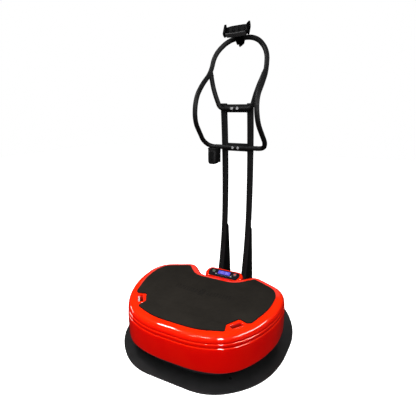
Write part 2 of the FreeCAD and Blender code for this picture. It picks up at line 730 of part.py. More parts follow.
def boot_loop(inset, low):
    """The sheet boot behind a post: its front follows the post's rear face."""
    half = size("post_deep") / 2
    radius = size("post_low_radius")
    top = arc_point(radius, BOOT_TOP_Z - 2 * inset, half)
    middle = arc_point(radius, (BOOT_TOP_Z + low) / 2, half)
    foot = arc_point(radius, low, half)
    heel = V(BOOT_HEEL_Y - inset, low, 0)
    shoulder = V(BOOT_SHOULDER[0] - inset, BOOT_SHOULDER[1] - inset, 0)
    return [Part.Arc(foot, middle, top), Part.LineSegment(top, shoulder),
            Part.LineSegment(shoulder, heel), Part.LineSegment(heel, foot)]


def make_boots_and_flanges():
    boots, flanges, bolts, caps = [], [], [], []
    for word, side in SIDES:
        boot = new_body("boot_" + word)
        pad(boot, "boot_pad_" + word, [boot_loop(0, POST_LOW)], "Sizes.post_wide - 2",
            plane="YZ_Plane", both_ways=True)
        pocket(boot, "boot_hollow_" + word, [boot_loop(2, POST_LOW)], "Sizes.post_wide - 6",
               plane="YZ_Plane", both_ways=True)
        place(boot, "%d * Sizes.post_x" % side)
        boots.append(boot)
        flange = new_body("flange_" + word)
        pad(flange, "flange_pad_" + word, [box_loop(72, 222, 10, side * size("post_x"), 445)],
            "Sizes.flange_thick", base=PLATE_TOP)
        holes = [circle_loop(x, y, FLANGE_HOLE_DIA) for x, y in FLANGE_BOLTS_XY if x * side > 0]
        pocket(flange, "flange_holes_" + word, holes, "Sizes.flange_thick",
               base="Sizes.plate_thick + Sizes.flange_thick")
        flanges.append(flange)
        caps.append(make_cap(word, side))
    for number, (x, y) in enumerate(FLANGE_BOLTS_XY):
        head = DOC.addObject("Part::Prism", "bolt_head_%d" % number)
        head.Polygon = 6
        head.Circumradius = 9
        head.Height = 6.4
        place(head, x, y, "Sizes.plate_thick + Sizes.flange_thick")
        shank = cylinder("bolt_shank_%d" % number, FLANGE_BOLT_DIA, "Sizes.flange_thick + 4.5",
                         (x, y, "Sizes.plate_thick - 4.5"))
        bolts.append(fuse("flange_bolt_%d" % number, [head, shank]))
    keep(gather("post_boots", boots), gather("post_flanges", flanges))
    keep(gather("flange_bolts", bolts), gather("post_caps", caps))


def make_cap(word, side):
    """A moulded plug that closes a post's top end, square to the tube."""
    top = arc_point(size("post_high_radius"), size("post_high"))
    cap = block("cap_" + word, "Sizes.post_wide", "Sizes.post_deep", "4", (0, 0, 0))
    place(cap, "%d * Sizes.post_x - Sizes.post_wide / 2" % side, top.x - size("post_deep") / 2,
          "Sizes.post_high")
    rounded = DOC.addObject("Part::Fillet", "cap_rounded_" + word)
    rounded.Base = cap
    DOC.recompute()
    rim = [index + 1 for index, edge in enumerate(cap.Shape.Edges)
           if edge.BoundBox.ZMin > cap.Shape.BoundBox.ZMax - 0.01]
    rounded.Edges = [(index, 2.0, 2.0) for index in rim]
    return rounded


# ---------------------------------------------------------------- crossmembers and handle

def bar_y(height):
    """Centre of a handle bar that lies on the front faces of the posts."""
    radius = size("post_high_radius") if height > size("post_belly_z") else size("post_low_radius")
    front = arc_point(radius, height, -size("post_deep") / 2).x
    return front - size("grip_dia") / 2


UPPER_Y = round(bar_y(size("upper_bar_z")) - 0.6, 1)
LOWER_Y = round(bar_y(size("lower_bar_z")) - 1.2, 1)


def bolt_tools(prefix, y, height, diameter):
    length = 70
    return [cylinder("%s_%s" % (prefix, word), diameter, length,
                     ("%d * Sizes.bolt_x" % side, y - 20, height), Y_AXIS) for word, side in SIDES]


def make_crossmembers():
    for name, y, height in (("upper_crossmember", UPPER_Y, "Sizes.upper_bar_z"),
                            ("lower_crossmember", LOWER_Y, "Sizes.lower_bar_z")):
        front = y + size("grip_dia") / 2
        reach = "Sizes.post_x - Sizes.post_wide / 2"
        outer = block(name + "_outer", "2 * (%s)" % reach, "Sizes.cross_deep", "Sizes.cross_high",
                      ("-(%s)" % reach, front, height + " - Sizes.cross_high / 2"))
        inner = block(name + "_inner", "2 * (%s)" % reach, "Sizes.cross_deep - 2 * Sizes.post_wall",
                      "Sizes.cross_high - 2 * Sizes.post_wall",
                      ("-(%s)" % reach, front + size("post_wall"),
                       height + " - Sizes.cross_high / 2 + Sizes.post_wall"))
        holes = bolt_tools(name + "_hole", y, height, "Sizes.bolt_dia + 0.4")
        keep(cut(name, outer, fuse(name + "_tools", [inner] + holes)))


def rounded_path(points, radii):
    """Straight runs joined by tangent arcs through 3-D corner points."""
    edges = []
    start = points[0]
    for index in range(1, len(points) - 1):
        here = points[index]
        side_in = (points[index - 1] - here).normalize()
        side_out = (points[index + 1] - here).normalize()
        half_angle = side_in.getAngle(side_out) / 2
        radius = radii[index - 1]
        reach = radius / math.tan(half_angle)
        centre = here + (side_in + side_out).normalize() * (radius / math.sin(half_angle))
        first = here + side_in * reach
        last = here + side_out * reach
        middle = centre + (here - centre).normalize() * radius
        if (first - start).Length > 0.01:
            edges.append(Part.LineSegment(start, first).toShape())
        edges.append(Part.Arc(first, middle, last).toShape())
        start = last
    edges.append(Part.LineSegment(start, points[-1]).toShape())
    return Part.Wire(edges)


def swept(path, diameter):
    """A round bar along a path."""
    tangent = path.Edges[0].tangentAt(path.Edges[0].FirstParameter)
    start = path.Vertexes[0].Point
    ring = Part.Wire([Part.makeCircle(diameter / 2, start, tangent)])
    return path.makePipeShell([ring], True, False)


HOOP_END_X = 112
# Right half of the hoop's corner points, from the lower bar's end to the crown: x, y, z, bend radius.
HOOP_CORNERS = [
    (HOOP_END_X, LOWER_Y, size("lower_bar_z"), 0),
    (149, LOWER_Y, size("lower_bar_z"), 40),
    (170, 381, 920, 121),
    (160.5, 264.5, 1028, 116),
    (153, 263, 1131, 109),
    (155, 339.5, 1201, 600),
    (146, 422, 1260, 144),
    (138.5, 453.5, 1352, 141),
    (69, 494, 1426, 108),
]


def hoop_path():
    right = [V(x, y, z) for x, y, z, _ in HOOP_CORNERS]
    left = [V(-p.x, p.y, p.z) for p in right]
    radii = [r for _, _, _, r in HOOP_CORNERS[1:]]
    return rounded_path(left + list(reversed(right)), radii + list(reversed(radii)))


def make_handle():
    path = hoop_path()
    grip = size("grip_dia")
    bore = grip - 2 * size("grip_wall")
    outer = swept(path, grip)
    inner = swept(path, bore)
    hoop = DOC.addObject("Part::Feature", "handle_hoop")
    hoop.Label = "handle_hoop"
    hoop.Shape = outer.cut(inner)
    keep(hoop)

    rod_start = (-HOOP_END_X, LOWER_Y, "Sizes.lower_bar_z")
    rod = cylinder("lower_rod", "Sizes.grip_dia", 2 * HOOP_END_X, rod_start, X_AXIS)
    core = cylinder("lower_core", "Sizes.grip_dia - 2 * Sizes.grip_wall", 2 * HOOP_END_X, rod_start, X_AXIS)
    tools = fuse("lower_bar_tools", [core] + bolt_tools("lower_bar_hole", LOWER_Y, "Sizes.lower_bar_z",
                                                        "Sizes.bolt_dia + 0.4"))
    keep(cut("handle_lower_bar", rod, tools))

    upper_z = size("upper_bar_z")
    side_points = [(85, UPPER_Y, upper_z), (115, 389, 1176)]
    meets = V(146, 419, 1267)
    brace_right = [V(x, y, z) for x, y, z in side_points] + [meets]
    brace_left = [V(-p.x, p.y, p.z) for p in brace_right]
    brace_points = list(reversed(brace_left)) + brace_right
    brace_radii = [190, 28, 28, 190]
    brace_path = rounded_path(brace_points, brace_radii)
    solid = swept(brace_path, grip).cut(outer)
    biggest = max(solid.Solids, key=lambda part: part.Volume)
    tube = biggest.cut(swept(brace_path, bore))
    brace = DOC.addObject("Part::Feature", "brace_tube")
    brace.Shape = max(tube.Solids, key=lambda part: part.Volume)
    drills = bolt_tools("brace_hole", UPPER_Y, "Sizes.upper_bar_z", "Sizes.bolt_dia + 0.4")
    keep(cut("handle_brace", brace, fuse("brace_drill", drills)))


def make_handle_bolts():
    bolts = []
    rows = (("upper", UPPER_Y, "Sizes.upper_bar_z"), ("lower", LOWER_Y, "Sizes.lower_bar_z"))
    for row, y, height in rows:
        head_y = y - size("grip_dia") / 2 - 3.2
        for word, side in SIDES:
            name = "handle_bolt_%s_%s" % (row, word)
            x = "%d * Sizes.bolt_x" % side
            head = cylinder(name + "_head", "Sizes.bolt_head_dia", 4.4, (x, head_y, height), Y_AXIS)
            shank = cylinder(name + "_shank", "Sizes.bolt_dia", 46, (x, head_y, height), Y_AXIS)
            seat = cylinder(name + "_seat", "Sizes.grip_dia + 0.02", 80, (-40, y, height), X_AXIS)
            trimmed = cut(name + "_trim", head, seat)
            bolts.append(fuse(name, [trimmed, shank]))
    keep(gather("handle_bolts", bolts))


# ---------------------------------------------------------------- phone holder

# The clamp sits a little left of the crown, where the tube still climbs, so the holder leans with it.
CLAMP_AT = V(-16, 494, 1424.5)
HOLDER_LEAN = FreeCAD.Rotation(Y_AXIS, -2.6)
CLAMP_TILT = HOLDER_LEAN.multiply(FreeCAD.Rotation(X_AXIS, 55))
FACE_TILT = 30
CLAMP_LONG = 38
SCREW_OFFSET = -16.4
SCREW_RADIUS = 3
SADDLE_TOP = 19.6
KNOB_LOW = -30.5
WING_LONG, WING_THICK, WING_TURN = 25, 5, 45
BALL_HEIGHT = 17


def on_clamp(item, x, y, z):
    """Put an object in the clamp's frame: z points forwards and up, out of the saddle."""
    item.Placement = FreeCAD.Placement(CLAMP_AT + CLAMP_TILT.multVec(V(x, y, z)), CLAMP_TILT)
    return item


def clamp_block(name, low, high):
    item = DOC.addObject("Part::Box", name)
    item.Length, item.Width, item.Height = CLAMP_LONG, 42, high - low
    return on_clamp(item, -CLAMP_LONG / 2, -23, low)


def clamp_rod(name, radius, low, high):
    item = DOC.addObject("Part::Cylinder", name)
    item.Radius, item.Height = radius, high - low
    return on_clamp(item, 0, SCREW_OFFSET, low)


def make_clamp():
    bore = DOC.addObject("Part::Feature", "clamp_bore")
    bore.Shape = swept(hoop_path(), size("grip_dia") + 0.4)
    screw_hole = clamp_rod("clamp_screw_hole", SCREW_RADIUS + 0.05, -30, 14)
    tools = fuse("clamp_tools", [bore, screw_hole])
    keep(cut("clamp_saddle", clamp_block("clamp_upper", 0.6, SADDLE_TOP), tools))
    keep(cut("clamp_cap", clamp_block("clamp_lower", -17, -0.6), tools))
    shank = clamp_rod("knob_shank", SCREW_RADIUS, -24, 13)
    hub = clamp_rod("knob_hub", 6, KNOB_LOW + 2, -17.5)
    wing = DOC.addObject("Part::Box", "knob_wing")
    wing.Length, wing.Width, wing.Height = WING_LONG, WING_THICK, 12
    on_clamp(wing, 0, SCREW_OFFSET, KNOB_LOW)
    turn = FreeCAD.Placement(V(0, 0, 0), FreeCAD.Rotation(Z_AXIS, WING_TURN))
    centre = FreeCAD.Placement(V(-WING_LONG / 2, -WING_THICK / 2, 0), FreeCAD.Rotation())
    wing.Placement = wing.Placement.multiply(turn).multiply(centre)
    keep(fuse("clamp_knob", [shank, hub, wing]))


def make_holder():
    make_clamp()
    stem = DOC.addObject("Part::Cone", "stem_cone")
    stem.Radius1, stem.Radius2, stem.Height = 8, 4.5, 12
    on_clamp(stem, 0, 0, SADDLE_TOP)
    ball = DOC.addObject("Part::Sphere", "stem_ball")
    ball.Radius = 8
    on_clamp(ball, 0, 0, SADDLE_TOP + BALL_HEIGHT)
    keep(fuse("ball_stem", [stem, ball]))
    ball_at = CLAMP_AT + CLAMP_TILT.multVec(V(0, 0, SADDLE_TOP + BALL_HEIGHT))
    make_cradle(ball_at)


# The cradle in its own frame: x along the phone's width, y up the face, z out of the face.
CRADLE_WIDE, CRADLE_HIGH, CRADLE_THICK = 116, 50, 12
CRADLE_BACK = 10
CRADLE_DROP = -3
JAW_THICK, JAW_HIGH = 7, 58
LIP_WIDE, LIP_LOW = 13, 34


def make_cradle(ball_at):
    face_turn = HOLDER_LEAN.multiply(FreeCAD.Rotation(X_AXIS, 90 - FACE_TILT))

    def seat(item, y=0, z=0):
        item.Placement = FreeCAD.Placement(ball_at + face_turn.multVec(V(0, y, z)), face_turn)
        return item

    # The socket cup is bored for the ball with a thin film of play, and its mouth is wide open.
    cup = new_body("cup_blank")
    pad(cup, "cup_pad", [circle_loop(0, 0, 26)], "15", base="-5")
    seat(cup)
    hollow = DOC.addObject("Part::Sphere", "cup_hollow")
    hollow.Radius = 8.3
    seat(hollow)
    mouth = DOC.addObject("Part::Cone", "cup_mouth")
    mouth.Radius1, mouth.Radius2, mouth.Height = 16, 7.2, 8
    seat(mouth, 0, -9)
    keep(cut("ball_socket", cup, fuse("cup_tools", [hollow, mouth])))

    body = new_body("cradle_back")
    pad(body, "cradle_plate", [box_loop(CRADLE_WIDE, CRADLE_HIGH, 5)], str(CRADLE_THICK),
        base=str(CRADLE_BACK))
    tunnel_loop = box_loop(CRADLE_WIDE / 2 + 20, 18, 1, CRADLE_WIDE / 4 + 10, 0)
    pocket(body, "jaw_tunnel", [tunnel_loop], "5", base=str(CRADLE_BACK + 3.5), upwards=True)
    shelf_loop = box_loop(CRADLE_WIDE - 14, 5.2, 2, 0, -CRADLE_HIGH / 2 - 2.4)
    pad(body, "cradle_shelf", [shelf_loop], "27", base=str(CRADLE_BACK))
    keep(seat(body, CRADLE_DROP))

    side_loop = box_loop(JAW_THICK, JAW_HIGH, 3, -CRADLE_WIDE / 2 - JAW_THICK / 2, 0)
    lip_loop = box_loop(LIP_WIDE, JAW_HIGH - 8, 3, -CRADLE_WIDE / 2 - 0.6, 0)
    fixed = new_body("fixed_jaw")
    pad(fixed, "fixed_jaw_plate", [side_loop], "26", base=str(CRADLE_BACK - 2))
    pad(fixed, "fixed_jaw_lip", [lip_loop], "4", base=str(LIP_LOW))
    keep(seat(fixed, CRADLE_DROP))

    # The sliding jaw stands a hair off the plate, and its tongue runs in the tunnel.
    edge = CRADLE_WIDE / 2 + JAW_THICK / 2 + 0.1
    slide = new_body("sliding_jaw")
    pad(slide, "sliding_jaw_plate", [box_loop(JAW_THICK, JAW_HIGH, 3, edge, 0)], "26",
        base=str(CRADLE_BACK - 2))
    pad(slide, "sliding_jaw_lip", [box_loop(LIP_WIDE, JAW_HIGH - 8, 3, edge - 3, 0)], "4",
        base=str(LIP_LOW))
    pad(slide, "sliding_jaw_tongue", [box_loop(46, 17, 0.5, edge - 23, 0)], "4",
        base=str(CRADLE_BACK + 4))
    keep(seat(slide, CRADLE_DROP))

    pads = []
    for number, x in enumerate((-32, 0, 32)):
        one = new_body("face_pad_%d" % number)
        pad(one, "face_pad_pad_%d" % number, [box_loop(16, 34, 4, x, 0)], "1.6",
            base=str(CRADLE_BACK + CRADLE_THICK))
        pads.append(seat(one, CRADLE_DROP))
    keep(gather("cradle_pads", pads))


# ---------------------------------------------------------------- pocket on the handle

POCKET_AT = V(-121.5, 408, 0)
POCKET_WIDE, POCKET_DEEP = 44, 58
POCKET_LOW, POCKET_TOP = 797, 885
POCKET_WALL = 2.5
STRAP_RIGHT = -94
STRAP_THICK = 3
TUBE_GAP = 0.5


def make_pocket():
    body = new_body("pocket_blank")
    loop = box_loop(POCKET_WIDE, POCKET_DEEP, 8, POCKET_AT.x, POCKET_AT.y)
    pad(body, "pocket_block", [loop], str(POCKET_TOP - POCKET_LOW), base=str(POCKET_LOW))
    solid = body.Tip
    low = body.Shape.BoundBox.ZMin
    rim = ["Edge%d" % (index + 1) for index, edge in enumerate(solid.Shape.Edges)
           if edge.BoundBox.ZMax < low + 0.01]
    round_edge = body.newObject("PartDesign::Fillet", "pocket_round")
    round_edge.Base = (solid, rim)
    round_edge.Radius = 7
    body.Tip = round_edge
    DOC.recompute()
    inner = box_loop(POCKET_WIDE - 2 * POCKET_WALL, POCKET_DEEP - 2 * POCKET_WALL, 5.5,
                     POCKET_AT.x, POCKET_AT.y)
    pocket(body, "pocket_room", [inner], str(POCKET_TOP - POCKET_LOW - 4), base=str(POCKET_TOP))
    # The walls are notched where they pass the handle tube.
    tube = DOC.addObject("Part::Feature", "pocket_tube_space")
    tube.Shape = swept(hoop_path(), size("grip_dia") + 2 * TUBE_GAP)
    rod = cylinder("pocket_rod_space", "Sizes.grip_dia + %s" % (2 * TUBE_GAP), 60,
                   (-HOOP_END_X - 5, LOWER_Y, "Sizes.lower_bar_z"), X_AXIS)
    keep(cut("pocket_body", body, fuse("pocket_notch", [tube, rod])))
    rear = POCKET_AT.y + POCKET_DEEP / 2
    left = POCKET_AT.x - POCKET_WIDE / 2 + 4
    strap = block("pocket_strap", STRAP_RIGHT - left, STRAP_THICK, 69, (left, rear, 803))
    hanger = block("pocket_hanger", 26, STRAP_THICK, 28, (STRAP_RIGHT - 26, rear, 872))
    clear = cylinder("hanger_space", "Sizes.grip_dia + 0.1", 60,
                     (STRAP_RIGHT - 40, LOWER_Y, "Sizes.lower_bar_z"), X_AXIS)
    keep(cut("pocket_bracket", fuse("pocket_strap_and_hanger", [strap, hanger]), clear))
    places = ((POCKET_AT.x, 826), (POCKET_AT.x, 852), (STRAP_RIGHT - 13, size("lower_bar_z")))
    screws = [cylinder("pocket_screw_%d" % n, "7", "2", (x, rear + STRAP_THICK, z), Y_AXIS)
              for n, (x, z) in enumerate(places)]
    keep(gather("pocket_screws", screws))


# ---------------------------------------------------------------- build, check and write

make_floor_plate()
make_feet()
make_tray()
make_isolators()
make_shell()
make_mat()
make_deck_plate()
make_strap_slots()
make_motors()
make_electronics()
make_power_entry()
make_console()
make_console_column()
make_posts()
make_boots_and_flanges()
make_crossmembers()
make_handle()
make_handle_bolts()
make_holder()
make_pocket()
DOC.recompute()

for item in DOC.Objects:
    if "Invalid" in item.State or "Error" in item.State:
        raise RuntimeError("%s did not build: %s" % (item.Label, item.State))

os.makedirs("parts", exist_ok=True)
labels = [item.Label for item in NODES]
if len(set(labels)) != len(labels):
    raise RuntimeError("two sub-parts share a name")
for item in NODES:
    shape = item.Shape
    if shape.isNull() or not shape.isValid() or not shape.Solids:
        raise RuntimeError(item.Label + " has no valid solid")
    shape.exportStep("parts/%s.step" % item.Label)
print(len(NODES), "sub-parts written")
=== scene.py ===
import json
import math

import bmesh
import bpy
from mathutils import Matrix, Vector


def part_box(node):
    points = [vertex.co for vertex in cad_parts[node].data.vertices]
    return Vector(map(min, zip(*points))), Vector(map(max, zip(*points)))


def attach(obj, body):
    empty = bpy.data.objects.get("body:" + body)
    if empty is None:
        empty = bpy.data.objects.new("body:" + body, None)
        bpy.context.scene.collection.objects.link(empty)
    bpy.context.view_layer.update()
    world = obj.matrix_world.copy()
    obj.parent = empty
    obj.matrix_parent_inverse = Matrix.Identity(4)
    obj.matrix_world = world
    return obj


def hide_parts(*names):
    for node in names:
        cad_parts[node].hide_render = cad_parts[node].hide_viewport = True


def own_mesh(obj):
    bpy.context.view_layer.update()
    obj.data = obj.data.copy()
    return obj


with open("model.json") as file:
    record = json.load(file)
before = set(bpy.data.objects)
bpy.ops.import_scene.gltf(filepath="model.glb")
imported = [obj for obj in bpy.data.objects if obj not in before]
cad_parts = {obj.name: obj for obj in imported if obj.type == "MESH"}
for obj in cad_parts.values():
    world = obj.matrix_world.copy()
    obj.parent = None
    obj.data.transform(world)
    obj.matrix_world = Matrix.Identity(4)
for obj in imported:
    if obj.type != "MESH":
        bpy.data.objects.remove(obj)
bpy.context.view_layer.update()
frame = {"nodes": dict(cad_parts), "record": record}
nodes = frame["nodes"]

MM = 0.001
MAT_TOP = 248

# Right half of each outline, front centre to rear centre, in mm: x, y, corner radius.
DECK_CORNERS = [
    (106, -241, 320), (219, -197, 183), (290, -95, 390), (328, 27, 361), (328, 137, 124),
    (303, 190, 80), (187, 246.5, 12), (108.5, 160.5, -102),
]
MAT_CORNERS = [
    (106, -241, 320), (209, -202, 9), (198, -160, -9), (235, -102, -9), (271, -116, 9),
    (289, -106, 16), (328, 27, 361), (328, 137, 124), (303, 190, 80), (187, 246.5, 7),
    (108.5, 160.5, -102),
]
# The console's pod and fascia, in the console's own plane.
POD_CORNERS = [(98, -45, 28), (114, 2, 40), (86, 29, 26)]
FASCIA_CORNERS = [(80, -33, 14), (93, 2, 24), (79, 17, 12)]


# ---------------------------------------------------------------- materials

def map_range(tree, value, low, high, out_low, out_high):
    node = tree.nodes.new("ShaderNodeMapRange")
    for socket, number in zip(list(node.inputs)[1:5], (low, high, out_low, out_high)):
        socket.default_value = number
    tree.links.new(value, node.inputs["Value"])
    return node.outputs["Result"]


def math_node(tree, operation, *values):
    """A Math node. Each value is a number, or an output to link."""
    node = tree.nodes.new("ShaderNodeMath")
    node.operation = operation
    for socket, value in zip(node.inputs, values):
        if isinstance(value, (int, float)):
            socket.default_value = value
        else:
            tree.links.new(value, socket)
    return node.outputs[0]


class Nodes:
    """A material's node tree, with short calls for the nodes used here."""

    def __init__(self, name):
        self.material = bpy.data.materials.new(name)
        self.material.use_nodes = True
        self.tree = self.material.node_tree
        self.shader = self.tree.nodes["Principled BSDF"]
        self.place = self.tree.nodes.new("ShaderNodeTexCoord").outputs["Object"]

    def set(self, **sockets):
        for name, value in sockets.items():
            self.shader.inputs[name.replace("_", " ")].default_value = value
        return self

    def link(self, output, target):
        self.tree.links.new(output, target)

    def noise(self, scale, detail=3.0, rough=0.5, stretch=(1, 1, 1)):
        mapping = self.tree.nodes.new("ShaderNodeMapping")
        mapping.inputs["Scale"].default_value = stretch
        self.link(self.place, mapping.inputs["Vector"])
        node = self.tree.nodes.new("ShaderNodeTexNoise")
        node.inputs["Scale"].default_value = scale
        node.inputs["Detail"].default_value = detail
        node.inputs["Roughness"].default_value = rough
        self.link(mapping.outputs["Vector"], node.inputs["Vector"])
        return node.outputs["Fac"]

    def cells(self, scale):
        node = self.tree.nodes.new("ShaderNodeTexVoronoi")
        node.inputs["Scale"].default_value = scale
        self.link(self.place, node.inputs["Vector"])
        return node.outputs["Distance"]

    def colour(self, value, low, high, first, second, socket="Base Color"):
        node = self.tree.nodes.new("ShaderNodeValToRGB")
        node.color_ramp.elements[0].position = low
        node.color_ramp.elements[1].position = high
        node.color_ramp.elements[0].color = (*first, 1)
        node.color_ramp.elements[1].color = (*second, 1)
        self.link(value, node.inputs["Fac"])
        self.link(node.outputs["Color"], self.shader.inputs[socket])

    def roughness(self, value, low, high):
        self.link(map_range(self.tree, value, 0.3, 0.7, low, high), self.shader.inputs["Roughness"])

    def bump(self, value, height, strength=1.0, after=None):
        node = self.tree.nodes.new("ShaderNodeBump")
        node.inputs["Distance"].default_value = height
        node.inputs["Strength"].default_value = strength
        self.link(value, node.inputs["Height"])
        if after:
            self.link(after, node.inputs["Normal"])
        self.link(node.outputs["Normal"], self.shader.inputs["Normal"])
        return node.outputs["Normal"]


def red_gloss():
    """Glossy clear-coated red, with painted top light: it turns a little more orange where it faces up.
    """
    made = Nodes("red_gloss").set(Roughness=0.36, Specular_IOR_Level=0.02, Coat_Weight=1.0,
                                  Coat_Roughness=0.04)
    normal = made.tree.nodes.new("ShaderNodeSeparateXYZ")
    made.link(made.tree.nodes.new("ShaderNodeNewGeometry").outputs["Normal"], normal.inputs["Vector"])
    # Painted top light: faces pointing up take the lighter, more orange end of the colour ramp, mixed
    # with random tone.
    painted_top_light = map_range(made.tree, normal.outputs["Z"], 0.1, 0.9, 0.0, 0.7)
    tone_and_painted_top_light = math_node(made.tree, "MULTIPLY_ADD", made.noise(9, 2), 0.3, painted_top_light)
    made.colour(tone_and_painted_top_light, 0.1, 0.95, (0.63, 0.0008, 0.0003), (0.88, 0.019, 0.0006))
    made.bump(made.noise(420, 2), 0.00004, 0.5)
    return made.material


def moulded(name, first, second, rough=(0.42, 0.55), grain=700, height=0.00006, **sockets):
    """Moulded plastic or powder coat: fine grain, slow change of tone and gloss."""
    made = Nodes(name).set(**sockets)
    made.colour(made.noise(22, 4), 0.35, 0.65, first, second)
    made.roughness(made.noise(60, 3), *rough)
    made.bump(made.noise(grain, 2, 0.5), height, 0.25)
    return made.material


def metal(name, first, second, rough, stretch=(1, 1, 1)):
    """Bare metal: uneven tone and gloss, with a fine grain along the stretch."""
    made = Nodes(name).set(Metallic=1.0)
    made.colour(made.noise(40, 4), 0.3, 0.7, first, second)
    made.roughness(made.noise(300, 4, 0.6, stretch), *rough)
    made.bump(made.noise(700, 2, 0.5, stretch), 0.00003, 0.4)
    return made.material


def mat_rubber(name, first, second):
    """Dull foamed rubber: small cells under a finer grain."""
    made = Nodes(name).set(Specular_IOR_Level=0.12)
    made.colour(made.noise(7, 5, 0.6), 0.3, 0.7, first, second)
    made.roughness(made.noise(30, 4), 0.7, 0.88)
    cells = made.bump(made.cells(400), 0.0002, 0.5)
    made.bump(made.noise(900, 3, 0.6), 0.0001, 0.4, cells)
    return made.material


def glow(name, first, second):
    """A lit part of the display."""
    made = Nodes(name).set(Roughness=0.2, Emission_Strength=0.9, Base_Color=(0.004, 0.003, 0.02, 1))
    made.colour(made.noise(120, 2), 0.35, 0.65, first, second, "Emission Color")
    return made.material


BLACK, SOOT = (0.008, 0.008, 0.0085), (0.013, 0.013, 0.014)
MATERIALS = {
    "shell_red": red_gloss(),
    "slot_red": moulded("slot_red", (0.55, 0.008, 0.003), (0.66, 0.012, 0.004), (0.3, 0.42)),
    "mat_rubber": mat_rubber("mat_rubber", (0.0075, 0.0060, 0.0042), (0.0125, 0.0102, 0.0074)),
    "mat_tread": mat_rubber("mat_tread", (0.0035, 0.0029, 0.0022), (0.0055, 0.0045, 0.0035)),
    # Near-black rubber for the mat's side faces: painted shade along the mat's edge.
    "mat_edge_painted_shade": mat_rubber("mat_edge_painted_shade", (0.0012, 0.001, 0.0008), (0.002, 0.0017, 0.0013)),
    "floor_steel": moulded("floor_steel", (0.0085, 0.0085, 0.0088), (0.0115, 0.0115, 0.012),
                           (0.36, 0.42), 90, 0.000004, Coat_Weight=0.2, Coat_Roughness=0.25),
    "frame_black": moulded("frame_black", (0.0028, 0.0028, 0.0029), (0.0042, 0.0042, 0.0044),
                           (0.5, 0.6), 500, 0.000015, Specular_IOR_Level=0.14),
    "tray_black": moulded("tray_black", BLACK, SOOT, (0.5, 0.65)),
    "column_steel": moulded("column_steel", BLACK, SOOT, (0.4, 0.5)),
    "foot_rubber": moulded("foot_rubber", BLACK, SOOT, (0.7, 0.85), 500, 0.0002),
    "cap_plastic": moulded("cap_plastic", BLACK, SOOT, (0.45, 0.6)),
    "holder_black": moulded("holder_black", (0.0012, 0.0012, 0.0013), (0.002, 0.002, 0.0022),
                            (0.3, 0.4), 500, 0.00002, Specular_IOR_Level=0.04),
    # A lighter grey copy of the holder's black plastic, for the shelf: painted light.
    "holder_grey_painted_light": moulded("holder_grey_painted_light", (0.024, 0.024, 0.0245), (0.032, 0.032, 0.0325),
                           (0.5, 0.6), 500, 0.00002, Specular_IOR_Level=0.15),
    "pad_rubber": moulded("pad_rubber", (0.0028, 0.0028, 0.0029), (0.0045, 0.0045, 0.0047),
                          (0.65, 0.8), 500, 0.00004, Specular_IOR_Level=0.05),
    "bracket_black": moulded("bracket_black", (0.005, 0.005, 0.0052), (0.009, 0.009, 0.0092),
                             (0.45, 0.6), 500, 0.00003, Specular_IOR_Level=0.15),
    "inlet_black": moulded("inlet_black", BLACK, SOOT, (0.4, 0.5)),
    "fascia_black": moulded("fascia_black", (0.006, 0.006, 0.008), (0.010, 0.010, 0.013),
                            (0.12, 0.2), 400, 0.00001, Coat_Weight=0.6, Coat_Roughness=0.05),
    "rocker_red": moulded("rocker_red", (0.5, 0.01, 0.005), (0.6, 0.014, 0.007), (0.25, 0.35)),
    "board_green": moulded("board_green", (0.01, 0.09, 0.03), (0.015, 0.13, 0.045), (0.3, 0.45),
                           300, 0.0001),
    "button_green": moulded("button_green", (0.008, 0.13, 0.003), (0.014, 0.18, 0.006), (0.3, 0.4)),
    "button_red": moulded("button_red", (0.50, 0.012, 0.008), (0.62, 0.02, 0.014), (0.3, 0.4)),
    "button_white": moulded("button_white", (0.16, 0.155, 0.165), (0.24, 0.235, 0.25), (0.34, 0.44)),
    "key_grey": moulded("key_grey", (0.06, 0.058, 0.062), (0.085, 0.083, 0.088), (0.4, 0.5)),
    "display_glass": glow("display_glass", (0.10, 0.08, 0.72), (0.14, 0.11, 0.88)),
    "display_digits": glow("display_digits", (0.40, 0.38, 0.95), (0.50, 0.48, 1.0)),
    "bar_steel": moulded("bar_steel", (0.72, 0.71, 0.69), (0.86, 0.85, 0.83), (0.25, 0.35),
                         500, 0.00003, Metallic=0.35),
    "bolt_steel": moulded("bolt_steel", (0.22, 0.22, 0.225), (0.32, 0.32, 0.325), (0.38, 0.48),
                          500, 0.00004, Metallic=0.4),
    "ring_steel": moulded("ring_steel", (0.10, 0.10, 0.105), (0.17, 0.17, 0.18), (0.25, 0.35),
                          500, 0.00002, Metallic=0.6),
    "rotor_steel": metal("rotor_steel", (0.40, 0.39, 0.38), (0.55, 0.54, 0.52), (0.3, 0.45)),
    "motor_cast": metal("motor_cast", (0.30, 0.30, 0.31), (0.42, 0.42, 0.43), (0.4, 0.6)),
    "heatsink_alu": metal("heatsink_alu", (0.55, 0.56, 0.58), (0.7, 0.71, 0.73), (0.3, 0.42),
                          (1, 14, 1)),
}


# ---------------------------------------------------------------- outlines and meshes

def mirrored(corners):
    """A whole outline from its right half."""
    return list(corners) + [(-x, y, r) for x, y, r in reversed(corners)]


def box_corners(wide, deep, radius, x=0, y=0):
    signs = (-1, -1), (1, -1), (1, 1), (-1, 1)
    return [(x + sx * wide / 2, y + sy * deep / 2, radius) for sx, sy in signs]


